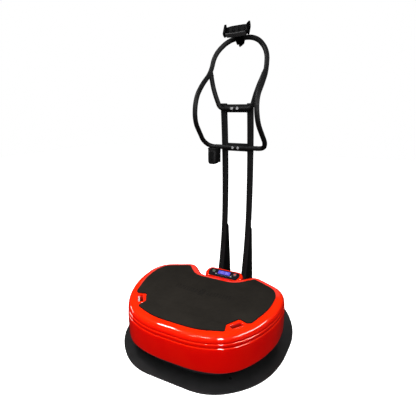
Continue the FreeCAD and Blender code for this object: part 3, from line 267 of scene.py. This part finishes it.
def loop(corners, offset=0.0, steps=8):
    """Points in mm round a closed outline of (x, y, radius) corners, moved outwards by offset."""
    count = len(corners)
    points = []
    for index, (x, y, radius) in enumerate(corners):
        here = Vector((x, y))
        side_in = (here - Vector(corners[index - 1][:2])).normalized()
        side_out = (Vector(corners[(index + 1) % count][:2]) - here).normalized()
        normal_in = Vector((side_in.y, -side_in.x))
        normal_out = Vector((side_out.y, -side_out.x))
        bisector = (normal_in + normal_out).normalized()
        here = here + bisector * (offset / bisector.dot(normal_in))
        reach_angle = (-side_in).angle(side_out) / 2
        arc = max(abs(radius + offset), 0.1)
        centre = here + (side_out - side_in).normalized() * (arc / math.sin(reach_angle))
        start = here - side_in * (arc / math.tan(reach_angle)) - centre
        end = here + side_out * (arc / math.tan(reach_angle)) - centre
        turn = math.atan2(start.x * end.y - start.y * end.x, start.dot(end))
        for step in range(steps + 1):
            points.append(centre + Matrix.Rotation(turn * step / steps, 2) @ start)
    return points


def level(points, height):
    return [Vector((p.x, p.y, height)) for p in points]


def new_object(name, mesh):
    item = bpy.data.objects.new(name, mesh)
    bpy.context.scene.collection.objects.link(item)
    return item


def loft(name, rings, closed=False, turn=None):
    """A skin through rings of points in mm, with the same number of points in each.

    A closed one joins its last ring to its first. Any other gets a cap at each end.
    """
    turn = turn or Matrix.Identity(4)
    count = len(rings[0])
    mesh = bpy.data.meshes.new(name)
    vertices = [turn @ (p * MM) for ring in rings for p in ring]
    faces = []
    spans = len(rings) if closed else len(rings) - 1
    for row in range(spans):
        here, there = row * count, (row + 1) % len(rings) * count
        for i in range(count):
            j = (i + 1) % count
            faces.append((here + i, here + j, there + j, there + i))
    if not closed:
        faces.append(tuple(reversed(range(count))))
        faces.append(tuple(range((len(rings) - 1) * count, len(rings) * count)))
    mesh.from_pydata(vertices, [], faces)
    tidy_normals(mesh)
    return new_object(name, mesh)


def tidy_normals(mesh):
    work = bmesh.new()
    work.from_mesh(mesh)
    bmesh.ops.remove_doubles(work, verts=work.verts, dist=1e-6)
    bmesh.ops.recalc_face_normals(work, faces=work.faces)
    work.to_mesh(mesh)
    work.free()


def frame_at(x, y, z, turn=None):
    """A local frame: turn is a 3x3 rotation, and the origin is in mm."""
    turn = turn or Matrix.Identity(3)
    return Matrix.Translation(Vector((x, y, z)) * MM) @ turn.to_4x4()


def bake_modifiers(item):
    """Turns the item's modifiers into its mesh."""
    graph = bpy.context.evaluated_depsgraph_get()
    mesh = bpy.data.meshes.new_from_object(item.evaluated_get(graph))
    item.modifiers.clear()
    item.data = mesh


def cut(item, tool):
    """Takes the tool's shape out of the item."""
    modifier = item.modifiers.new("cut", "BOOLEAN")
    modifier.operation = "DIFFERENCE"
    modifier.solver = "EXACT"
    modifier.object = tool
    bpy.context.view_layer.update()
    bake_modifiers(item)
    bpy.data.objects.remove(tool)


def soften(item, width):
    """Rounds the item's sharp edges, width in mm."""
    item.modifiers.new("weld", "WELD").merge_threshold = 1e-5
    bevel = item.modifiers.new("edges", "BEVEL")
    bevel.width = width * MM
    bevel.segments = 3
    bevel.limit_method = "ANGLE"
    bevel.angle_limit = math.radians(35)
    bevel.harden_normals = True
    bevel.use_clamp_overlap = True


def finish(item, body, slot, replaces=(), look=None, angle=40):
    """Gives a new piece its material (the look's, else the slot's), its shading and its body, and hides
    the CAD nodes it replaces.
    """
    item.data.materials.clear()
    item.data.materials.append(MATERIALS[look or slot])
    item.data.shade_smooth()
    item.data.set_sharp_from_angle(angle=math.radians(angle))
    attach(item, body)
    if replaces:
        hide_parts(*replaces)
    return item


def lathe(name, profile, turn, steps=40):
    """A turned piece: profile is (radius, height) in mm, round the local z axis."""
    angles = [2 * math.pi * k / steps for k in range(steps)]
    rings = [[Vector((r * math.cos(a), r * math.sin(a), z)) for a in angles] for r, z in profile]
    return loft(name, rings, turn=turn)


def join(name, items):
    """Several meshes as one piece."""
    work = bmesh.new()
    for item in items:
        work.from_mesh(item.data)
        bpy.data.objects.remove(item)
    mesh = bpy.data.meshes.new(name)
    work.to_mesh(mesh)
    work.free()
    return new_object(name, mesh)


# ---------------------------------------------------------------- deck

# The shell's section: offset from the mat's plain outline near the middle and at the sides, height.
SHELL_SECTION = [
    (-30, -30, 242), (0, 0, 242), (12, 12, 242), (18, 18, 241.8), (23, 23, 241.1), (28, 28, 239.5),
    (32.5, 32.5, 236.9), (36.2, 36.2, 233.2), (39, 39, 228.6), (40.9, 40.9, 223.4), (42, 42, 218),
    (42.1, 42.1, 215.4), (41.6, 41.6, 214.4), (40.6, 40.6, 213.5), (40.3, 40.3, 212.2),
    (40.8, 40.8, 210.9), (42.2, 42.2, 209.9), (43.2, 43.2, 208.7), (43.6, 43.6, 207), (43.8, 43.8, 202),
    (43.7, 43.7, 197.4), (43.2, 43.2, 195.9), (42.1, 42.1, 194.9), (41.4, 41.6, 193.2),
    (41.9, 42.1, 191.6), (43.2, 43.5, 190.6), (44, 44.5, 189.2), (44.4, 45, 187), (44.6, 45.8, 175),
    (44, 46.3, 160), (42.8, 46.5, 140), (41.2, 46.4, 120), (39.2, 46.2, 100), (37.4, 46, 86),
    (36.4, 45.6, 78.5), (35.8, 45.2, 75.6), (34.6, 44.2, 74.2), (33, 42.8, 74.2), (31.8, 41.6, 76),
    (31.6, 41.6, 84), (36, 41.6, 120), (38.6, 40.4, 170), (38.8, 39.6, 200), (36, 36, 222),
    (26, 26, 235), (10, 10, 238), (-30, -30, 238),
]
# How far from the middle the section starts to change, and over what distance, in mm.
SECTION_FROM, SECTION_OVER = 60, 230
# The right strap slot's place, its turn in degrees, and its size.
SLOT_X, SLOT_Y, SLOT_TURN = 237, -147, 52
SLOT_LONG, SLOT_WIDE, SLOT_RADIUS = 58, 26, 6


def shell_ring(middle, side, height):
    near = loop(mirrored(DECK_CORNERS), middle, 14)
    wide = loop(mirrored(DECK_CORNERS), side, 14)
    ring = []
    for a, b in zip(near, wide):
        share = min(max((abs(a.x) - SECTION_FROM) / SECTION_OVER, 0), 1)
        share = share * share * (3 - 2 * share)
        ring.append(a.lerp(b, share))
    return level(ring, height)


def slot_frame(side):
    turn = SLOT_TURN if side > 0 else 180 - SLOT_TURN
    return frame_at(side * SLOT_X, SLOT_Y, 0, Matrix.Rotation(math.radians(turn), 3, "Z"))


def slot_ring(offset, height):
    return level(loop(box_corners(SLOT_LONG, SLOT_WIDE, SLOT_RADIUS), offset, 8), height)


def make_deck():
    """The red shell with its strap slots and their raised rims, and the rubber mat."""
    shell = loft("shell", [shell_ring(*row) for row in SHELL_SECTION])
    for side in (-1, 1):
        tool = [slot_ring(1.5, height) for height in (190, 260)]
        cut(shell, loft("cutter", tool, turn=slot_frame(side)))
    finish(shell, "deck", "shell_red", ["deck_shell"], angle=50)

    rim = [(-1.7, 236), (-1.7, 242.2), (-1.3, 243.3), (-0.3, 243.9), (1.2, 244.0), (2.6, 243.6),
           (3.9, 242.6), (4.6, 241.2), (4.6, 236)]
    rims = [loft("rim", [slot_ring(*row) for row in rim], closed=True, turn=slot_frame(side))
            for side in (-1, 1)]
    finish(join("slot_rims", rims), "deck", "shell_red")

    section = [(-0.6, 242), (0, 242.6), (0, 246.4), (-0.3, 247.2), (-0.9, 247.75), (-1.8, MAT_TOP)]
    mat = loft("mat", [level(loop(mirrored(MAT_CORNERS), inset, 10), z) for inset, z in section])
    finish(mat, "deck", "mat_rubber", ["deck_mat"])
    # Painted shade: the mat's side faces get the near-black rubber, a dark line round the mat.
    mat.data.materials.append(MATERIALS["mat_edge_painted_shade"])
    for face in mat.data.polygons:
        face.material_index = 0 if face.normal.z > 0.6 else 1


# The tread's short bars: the steps across and back in mm, the rows, and the columns on each side.
TREAD_ACROSS, TREAD_BACK, TREAD_ROWS, TREAD_COLUMNS = 15.5, 11, 3, 9


def make_tread():
    """A raised tread in the mat's middle: three rows of short bars, and a stack of long ones."""
    bars = []
    for row in range(TREAD_ROWS):
        for column in range(-TREAD_COLUMNS, TREAD_COLUMNS + 1):
            if abs(column) > 1:
                y = 26 - row * TREAD_BACK + 0.9 * abs(column)
                bars.append((column * TREAD_ACROSS, y, 10, 4))
    for row in range(5):
        bars.append((0, 40 - row * 12, 34 - 5 * abs(row - 2), 5))
    section = (0.6, -0.2), (0.2, 0.4), (-0.6, 0.9)
    made = []
    for x, y, long, wide in bars:
        corners = box_corners(long, wide, wide / 2 - 0.1, x, y)
        made.append(loft("bar", [level(loop(corners, inset, 3), MAT_TOP + z) for inset, z in section]))
    finish(join("mat_tread", made), "deck", "mat_rubber", look="mat_tread")


# ---------------------------------------------------------------- console

CONSOLE = frame_at(0, 290, 219.5, Matrix.Rotation(math.radians(24), 3, "X"))
# The seven bars of a digit: which are lit, and each bar's place and whether it lies across.
SEGMENTS = {
    "0": "abcdef", "1": "bc", "2": "abged", "3": "abgcd", "4": "fgbc", "5": "afgcd", "6": "afgedc",
    "7": "abc", "8": "abcdefg", "9": "abcdfg",
}
SEGMENT_BARS = {
    "a": (0, 1, 1), "b": (0.5, 0.5, 0), "c": (0.5, -0.5, 0), "d": (0, -1, 1), "e": (-0.5, -0.5, 0),
    "f": (-0.5, 0.5, 0), "g": (0, 0, 1),
}
# On the console's face, in mm: a digit's size and step, the marks' heights, the keys' places.
DIGIT_WIDE, DIGIT_HIGH, DIGIT_STROKE, DIGIT_PITCH = 7, 13, 1.6, 11.55
DISPLAY_LOW, DISPLAY_HIGH = 0.7, 1.05
KEY_X, KEY_Y, SMALL_KEY_X, SMALL_KEY_Y = 62, 1, 43, -15.5


def flat_bar(wide, deep, x, y, low, high):
    """A thin bar on the console's face, its top edge softened."""
    corners = box_corners(wide, deep, min(wide, deep) * 0.42, x, y)
    section = (0, low), (0, high - 0.1), (-0.1, high)
    return loft("bar", [level(loop(corners, inset, 3), z) for inset, z in section], turn=CONSOLE)


def digits(number, x, y):
    made = []
    for place, digit in enumerate(number):
        middle = x + place * DIGIT_PITCH
        for segment in SEGMENTS[digit]:
            sx, sy, across = SEGMENT_BARS[segment]
            gap = DIGIT_STROKE * 0.6
            size = (DIGIT_WIDE - gap, DIGIT_STROKE) if across else (DIGIT_STROKE, DIGIT_HIGH / 2 - gap)
            made.append(flat_bar(*size, middle + sx * DIGIT_WIDE, y + sy * DIGIT_HIGH / 2,
                                 DISPLAY_LOW, DISPLAY_HIGH))
    return made


def make_console():
    """The red pod round the fascia, the lit display marks and the four keys."""
    pod = [(-3, -37), (-0.4, -34.6), (0, -33), (0, -13), (-0.4, -9.4), (-1.5, -6), (-3.3, -3),
           (-5.6, -0.7), (-8.4, 0.8)]
    opening = [(3.4, 1.6), (1.9, 1.3), (0.8, 0.5), (0.3, -0.8), (0.3, -12)]
    rings = [level(loop(mirrored(POD_CORNERS), inset, 10), z) for inset, z in pod]
    rings += [level(loop(mirrored(FASCIA_CORNERS), inset, 10), z) for inset, z in opening]
    finish(loft("console_pod", rings, turn=CONSOLE), "base", "shell_red", ["console_housing"], angle=60)

    marks = digits("10", -23, -1) + digits("35", 9, -1)
    marks += [flat_bar(2.2, 2.2, -1.5, y, DISPLAY_LOW, DISPLAY_HIGH) for y in (-4.5, 2.5)]
    finish(join("display_digits", marks), "base", "display_glass", look="display_digits")
    lamps = [flat_bar(2.6, 2.0, -32 + 8 * n, -18.5, 0.9, 1.25) for n in range(9)]
    finish(join("display_lamps", lamps), "base", "button_white", look="display_digits")

    key = [(6.4, -8), (7, -7.4), (7, 2), (6.5, 2.8), (5.4, 3.3), (3.8, 3.1), (1.0, 2.9), (0.1, 2.9)]
    lens = [(4.8, 2.6), (4.8, 3.4), (4.3, 3.8), (2.8, 4.05), (0.1, 4.15)]
    for name, body, side, slot in (("start_button", "start_key", -1, "button_green"),
                                   ("stop_button", "stop_key", 1, "button_red")):
        place = CONSOLE @ frame_at(side * KEY_X, KEY_Y, 0)
        finish(lathe(name + "_key", key, place), body, slot, [name], look="key_grey")
        finish(lathe(name + "_lens", lens, place, 28), body, slot)
    key = [(4.1, -8), (4.5, -7.6), (4.5, 1.6), (4.1, 2.2), (3.2, 2.4), (2.2, 2.0), (0.1, 1.9)]
    for name, body, side in (("minus_button", "minus_key", -1), ("plus_button", "plus_key", 1)):
        place = CONSOLE @ frame_at(side * SMALL_KEY_X, SMALL_KEY_Y, 0)
        finish(lathe(name + "_key", key, place, 32), body, "button_white", [name])


# ---------------------------------------------------------------- phone holder

HOLDER_TURN = Matrix.Rotation(math.radians(-2.6), 3, "Y") @ Matrix.Rotation(math.radians(60), 3, "X")
# The holder's own frame at rest, near its ball: x across, y up its face, z out towards the phone.
CRADLE = frame_at(-16.952, 464.019, 1445.471, HOLDER_TURN) @ frame_at(0, -3, 0)
# Turns an outline drawn in y and z, and its height, into the cradle's y, z and x.
SIDEWAYS = Matrix(((0, 0, 1, 0), (1, 0, 0, 0), (0, 1, 0, 0), (0, 0, 0, 1)))
HOLDER_PLATE = [(-58, -25, 5), (58, -25, 5), (58, 22.5, 6), (34, 27, 90), (-34, 27, 90), (-58, 22.5, 6)]
# The shelf under the phone: half its length, how far it bows, and its steps on each side.
SHELF_HALF, SHELF_BOW, SHELF_STEPS = 51.5, 2.2, 10
JAW_EAR = [(-28, 9, 4), (-8, 8, 40), (16, 8, 12), (25, 14, 14), (34, 29, 1.6), (26, 37.5, 5),
           (0, 38, 60), (-25, 38, 5), (-30, 30, 6)]
JAW_LIP = [(-3.4, -22, 4), (9.4, -22, 4), (9.4, 14, 5), (3, 26, 8), (-3.4, 22, 3)]


def stacked(name, corners, section, turn, steps=6):
    """A slab with shaped edges: section lists (offset, height)."""
    return loft(name, [level(loop(corners, inset, steps), z) for inset, z in section], turn=turn)


def make_holder():
    """The cradle's plate with its shelf, the two jaws and the ribbed pads."""
    section = [(-2.5, 10), (-0.8, 10.6), (0, 12), (0, 20.4), (-0.5, 21.8), (-1.6, 22.6), (-3.4, 22.6),
               (-4.4, 22), (-4.9, 20.9), (-5.4, 20.6)]
    back = stacked("holder_back", HOLDER_PLATE, section, CRADLE)
    finish(back, "holder_head", "holder_black", ["cradle_back"], angle=50)

    shelf = []
    for step in range(-SHELF_STEPS, SHELF_STEPS + 1):
        share = step / SHELF_STEPS
        bow = -SHELF_BOW * (1 - share * share)
        pinch = -1.2 if abs(step) == SHELF_STEPS else 0
        ring = loop(box_corners(27, 5.4, 2.5, 23.5, -27.6 + bow), pinch, 4)
        shelf.append([Vector((SHELF_HALF * share, p.y, p.x)) for p in ring])
    # The shelf gets the lighter grey copy of the holder's black as painted light.
    finish(loft("holder_shelf", shelf, turn=CRADLE), "holder_head", "holder_black",
           look="holder_grey_painted_light", angle=50)

    make_jaw("holder_fixed_jaw", "holder_head", "fixed_jaw", -61.5, 1)
    make_jaw("holder_sliding_jaw", "holder_jaw", "sliding_jaw", 61.6, -1)

    pads = []
    for x in (-32, 0, 32):
        pads.append(stacked("pad", box_corners(16, 34, 4, x, 0),
                            [(0, 20.4), (0, 23), (-0.5, 23.6), (-1.4, 23.6)], CRADLE))
        for y in (-10, -5, 0, 5, 10):
            pads.append(stacked("rib", box_corners(11, 1.8, 0.8, x, y),
                                [(0, 23.4), (0, 24), (-0.4, 24.3)], CRADLE, 2))
    finish(join("holder_pads", pads), "holder_head", "pad_rubber", ["cradle_pads"])


def make_jaw(name, body, node, x, inwards):
    """A jaw: a horned ear, the lip that hooks over the phone, and grip ribs on the inside."""
    place = CRADLE @ frame_at(x, 0, 0)
    made = [stacked("ear", JAW_EAR, [(-1.6, -3.5), (-0.5, -3.2), (0, -2.2), (0, 2.2), (-0.5, 3.2),
                                     (-1.6, 3.5)], place @ SIDEWAYS)]
    lip = [(inwards * across, y, r) for across, y, r in JAW_LIP]
    if inwards < 0:
        lip.reverse()
    made.append(stacked("lip", lip, [(-1, 34), (0, 34.8), (0, 37.2), (-1, 38)], place))
    for y in range(-18, 18, 7):
        made.append(stacked("rib", box_corners(1.6, 2.6, 0.7, inwards * 3.9, y),
                            [(0, 12), (0, 32), (-0.4, 32.6)], place, 2))
    if inwards < 0:  # the sliding jaw's tongue runs in the cradle
        made.append(stacked("tongue", box_corners(46, 17, 1, -23, 0),
                            [(-0.4, 14), (0, 14.4), (0, 17.6), (-0.4, 18)], place))
    finish(join(name, made), body, "holder_black", [node], angle=50)


# ---------------------------------------------------------------- pocket on the handle

# The pocket's middle, its front face, and the bar that it hangs on.
POCKET_X, POCKET_Y, POCKET_FRONT = -121.5, 408, 379
POCKET_WIDE, POCKET_DEEP, POCKET_RADIUS = 44, 58, 8
LOWER_BAR_Y, LOWER_BAR_Z, LOWER_BAR_CLEAR = 425.6, 889, 12.6


def make_pocket():
    """The open-topped pocket, notched for the bar it hangs on, with a ribbed panel on its front."""
    section = [(-15, 797), (-10, 797.7), (-6, 799.6), (-3, 802.8), (-1, 807.4), (0.2, 813), (0.7, 830),
               (0.7, 852), (0.2, 872), (0, 877.6), (0.9, 878.6), (1.3, 880.2), (1.3, 883), (0.8, 884.4),
               (-0.4, 885), (-1.8, 884.8), (-2.5, 883.8), (-2.8, 815), (-4.6, 809), (-8, 804.4),
               (-15, 802.2)]
    corners = box_corners(POCKET_WIDE, POCKET_DEEP, POCKET_RADIUS)
    pouch = stacked("pocket_pouch", corners, section, frame_at(POCKET_X, POCKET_Y, 0))
    angles = [math.pi * k / 20 for k in range(40)]
    tool = [[Vector((x, LOWER_BAR_Y + LOWER_BAR_CLEAR * math.cos(a),
                     LOWER_BAR_Z + LOWER_BAR_CLEAR * math.sin(a))) for a in angles] for x in (-160, -80)]
    cut(pouch, loft("tube_space", tool))
    finish(pouch, "base", "bracket_black", ["pocket_body"], angle=50)

    front = frame_at(POCKET_X, POCKET_FRONT, 0, Matrix.Rotation(math.radians(90), 3, "X"))
    made = [stacked("panel", box_corners(26, 52, 9, 0, 840), [(0, -0.6), (0, 0.9), (-0.5, 1.4)], front)]
    for y in range(822, 860, 6):
        made.append(stacked("rib", box_corners(15, 2.2, 1, 0, y), [(0, 1.2), (0, 1.9), (-0.5, 2.3)],
                            front, 3))
    finish(join("pocket_panel", made), "base", "bracket_black", look="pad_rubber")


# ---------------------------------------------------------------- frame details

def ring_bead(x, y, z, axis, radius, thick):
    """A weld bead round a tube, slightly rippled."""
    turn = Vector(axis).normalized().to_track_quat("Z", "Y").to_matrix()
    rings = []
    for k in range(12):
        a = 2 * math.pi * k / 12
        r, h = radius + thick * math.cos(a), thick * math.sin(a)
        ring = []
        for n in range(40):
            t = 2 * math.pi * n / 40
            ripple = 1 + 0.012 * math.sin(13 * t)
            ring.append(Vector((r * ripple * math.cos(t), r * ripple * math.sin(t), h)))
        rings.append(ring)
    return loft("bead", rings, closed=True, turn=frame_at(x, y, z, turn))


def make_frame_details():
    """Weld beads where bars and tubes meet, and the plugs of the floor plate's holes."""
    beads = []
    for side in (-1, 1):
        beads.append(ring_bead(side * 112, LOWER_BAR_Y, LOWER_BAR_Z, (1, 0, 0), 11.9, 1.1))
        beads.append(ring_bead(side * 138.5, 411.5, 1244.5, (side * 24, 23, 70), 12.1, 1.6))
        for y, z in ((425.9, 1087), (447.4, 889)):
            place = frame_at(side * 56.4, y, z, Matrix.Rotation(math.radians(90), 3, "Y"))
            section = [(-0.4, -1.6), (0.9, -1.2), (1.4, 0), (0.9, 1.2), (-0.4, 1.6)]
            beads.append(stacked("bead", box_corners(40, 20, 3), section, place, 5))
    finish(join("weld_beads", beads), "base", "frame_black")

    plug = [(4.4, 0.6), (4.4, 5), (6.6, 5.1), (6.4, 5.8), (5, 6.3), (3.4, 6.5), (3.1, 5.2), (0.1, 5.2)]
    plugs = [lathe("plug", plug, frame_at(x, y, 0), 28) for x in (-230, 230) for y in (-180, 400)]
    finish(join("plate_plugs", plugs), "base", "foot_rubber", look="pad_rubber")


# ---------------------------------------------------------------- isolators under the deck

ISOLATORS_XY = (88, -165), (250, 20), (195, 150)


def make_isolators():
    """Waisted, ribbed rubber mounts, fixed to the base."""
    low, high = (corner[2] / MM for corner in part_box("isolators"))
    profile = [(19, low), (22.4, low + 0.4), (23, low + 1.4), (23, low + 6), (21.6, low + 7.4)]
    for rib in range(4):
        z = low + 9.5 + 7 * rib
        profile += [(19.6, z - 0.4), (19.4, z + 1.2), (20.6, z + 2.6), (21.2, z + 4), (20.6, z + 5.4)]
    profile += [(21.6, high - 7.4), (23, high - 6), (23, high - 1.4), (22.4, high - 0.4), (19, high)]
    mounts = [lathe("mount", profile, frame_at(side * x, y, 0), 32)
              for side in (-1, 1) for x, y in ISOLATORS_XY]
    piece = finish(join("isolator_mounts", mounts), "base", "foot_rubber", ["isolators"])
    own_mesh(piece)


# ---------------------------------------------------------------- CAD nodes that stay

# Edge rounding in mm of the CAD nodes with sharp edges.
ROUNDED = [
    (2.4, ["post_left", "post_right", "upper_crossmember", "lower_crossmember"]),
    (1.5, ["machine_feet", "clamp_saddle", "clamp_cap"]),
    (1.0, ["floor_plate", "post_flanges", "base_tray", "console_base", "console_column", "clamp_knob"]),
    (0.8, ["isolator_columns", "deck_plate", "motor_saddles", "pocket_bracket", "ball_socket",
           "post_boots"]),
    (0.4, ["post_caps", "console_fascia", "rocker_bezel", "pocket_screws", "handle_bolts",
           "flange_bolts"]),
]


def dress_cad():
    """Procedural materials on every CAD node, and rounded edges on the sharp ones."""
    for part in frame["record"]["subparts"]:
        item = nodes[part["node"]]
        look = "ring_steel" if part["node"] == "button_rings" else part["material_slot"]
        if not item.material_slots:
            item.data.materials.append(MATERIALS[look])
        for place in item.material_slots:
            place.material = MATERIALS[look]
    for width, members in ROUNDED:
        for name in members:
            soften(nodes[name], width)


# ---------------------------------------------------------------- camera, floor, lights

SENSOR, LENS = 36, 28.74
CAMERA_PLACE, CAMERA_AZIMUTH, CAMERA_PITCH = (0.632, -1.2365, 1.082), 25.59, 16.54
# The world's strength for diffuse rays, for all other rays, and its share from below.
WORLD_DIFFUSE, WORLD_OTHER, WORLD_BELOW = 0.42, 0.012, 0.35
# Name, azimuth, elevation, distance, width, height, power. Azimuth 0 is in front of the machine and
# 90 to its right. The wide lights light the surfaces, and the narrow ones give the highlights.
WIDE_LIGHTS = (
    ("top", -10, 72, 2.8, 2.0, 2.0, 105), ("fill", -28, 18, 2.6, 1.6, 1.2, 30),
    ("side_fill", 62, 20, 2.6, 1.6, 1.2, 22),
)
NARROW_LIGHTS = (
    ("front", 0, 50, 2.6, 0.9, 0.14, 26), ("front_strip", 36, 32, 2.6, 0.36, 0.7, 45),
    ("right", 92, 34, 2.6, 2.4, 0.22, 58), ("left_top", -80, 62, 2.6, 0.6, 0.3, 30),
    ("left_low", -84, 8, 2.6, 0.8, 0.2, 9), ("rear_left", -160, 22, 3.0, 2.4, 1.0, 2.5),
)
LIGHTS_AIM = (0, 0, 0.2)


def make_camera():
    data = bpy.data.cameras.new("camera")
    data.sensor_width = SENSOR
    data.lens = LENS
    camera = bpy.data.objects.new("camera", data)
    camera.location = CAMERA_PLACE
    camera.rotation_euler = (math.radians(90 - CAMERA_PITCH), 0, math.radians(CAMERA_AZIMUTH))
    bpy.context.scene.collection.objects.link(camera)
    bpy.context.scene.camera = camera


def make_floor():
    """A plain pale floor, bright in itself, that throws no colour on the machine."""
    bpy.ops.mesh.primitive_plane_add(size=14)
    floor = bpy.context.object
    floor.name = "floor"
    made = Nodes("floor_white").set(Roughness=0.9, Specular_IOR_Level=0.1, Emission_Strength=0.85,
                                    Emission_Color=(1, 1, 1, 1))
    made.colour(made.noise(2, 2), 0.3, 0.7, (0.94, 0.94, 0.94), (0.96, 0.96, 0.96))
    floor.data.materials.append(made.material)
    floor.visible_glossy = False
    floor.visible_diffuse = False


def softbox(name, azimuth, elevation, distance, wide, high, power):
    """One rectangular light on a sphere round the machine, turned to its foot."""
    data = bpy.data.lights.new(name, "AREA")
    data.shape = "RECTANGLE"
    data.size, data.size_y = wide, high
    data.energy = power
    light = bpy.data.objects.new(name, data)
    a, e = math.radians(azimuth), math.radians(elevation)
    out = Vector((math.sin(a) * math.cos(e), -math.cos(a) * math.cos(e), math.sin(e)))
    light.location = Vector(LIGHTS_AIM) + out * distance
    light.rotation_mode = "QUATERNION"
    light.rotation_quaternion = out.to_track_quat("Z", "Y")
    bpy.context.scene.collection.objects.link(light)
    return light


def make_lights():
    """A world that is white to the camera and dim to the surfaces, and the softboxes."""
    world = bpy.data.worlds.new("world")
    world.use_nodes = True
    tree = world.node_tree
    path = tree.nodes.new("ShaderNodeLightPath")
    direction = tree.nodes.new("ShaderNodeSeparateXYZ")
    tree.links.new(tree.nodes.new("ShaderNodeTexCoord").outputs["Generated"], direction.inputs["Vector"])
    sky = map_range(tree, direction.outputs["Z"], -0.5, 0.3, WORLD_BELOW, 1.0)
    diffuse = math_node(tree, "MULTIPLY", path.outputs["Is Diffuse Ray"], sky)
    dim = math_node(tree, "MULTIPLY_ADD", diffuse, WORLD_DIFFUSE, WORLD_OTHER)
    total = math_node(tree, "MAXIMUM", dim, path.outputs["Is Camera Ray"])
    background = tree.nodes["Background"]
    tree.links.new(total, background.inputs["Strength"])
    background.inputs["Color"].default_value = (1, 1, 1, 1)
    bpy.context.scene.world = world
    for row in WIDE_LIGHTS:
        softbox(*row).visible_glossy = False
    for row in NARROW_LIGHTS:
        softbox(*row).visible_diffuse = False
    bpy.context.scene.view_settings.view_transform = "Standard"


make_deck()
make_tread()
make_console()
make_holder()
make_pocket()
make_frame_details()
make_isolators()
dress_cad()
make_camera()
make_floor()
make_lights()
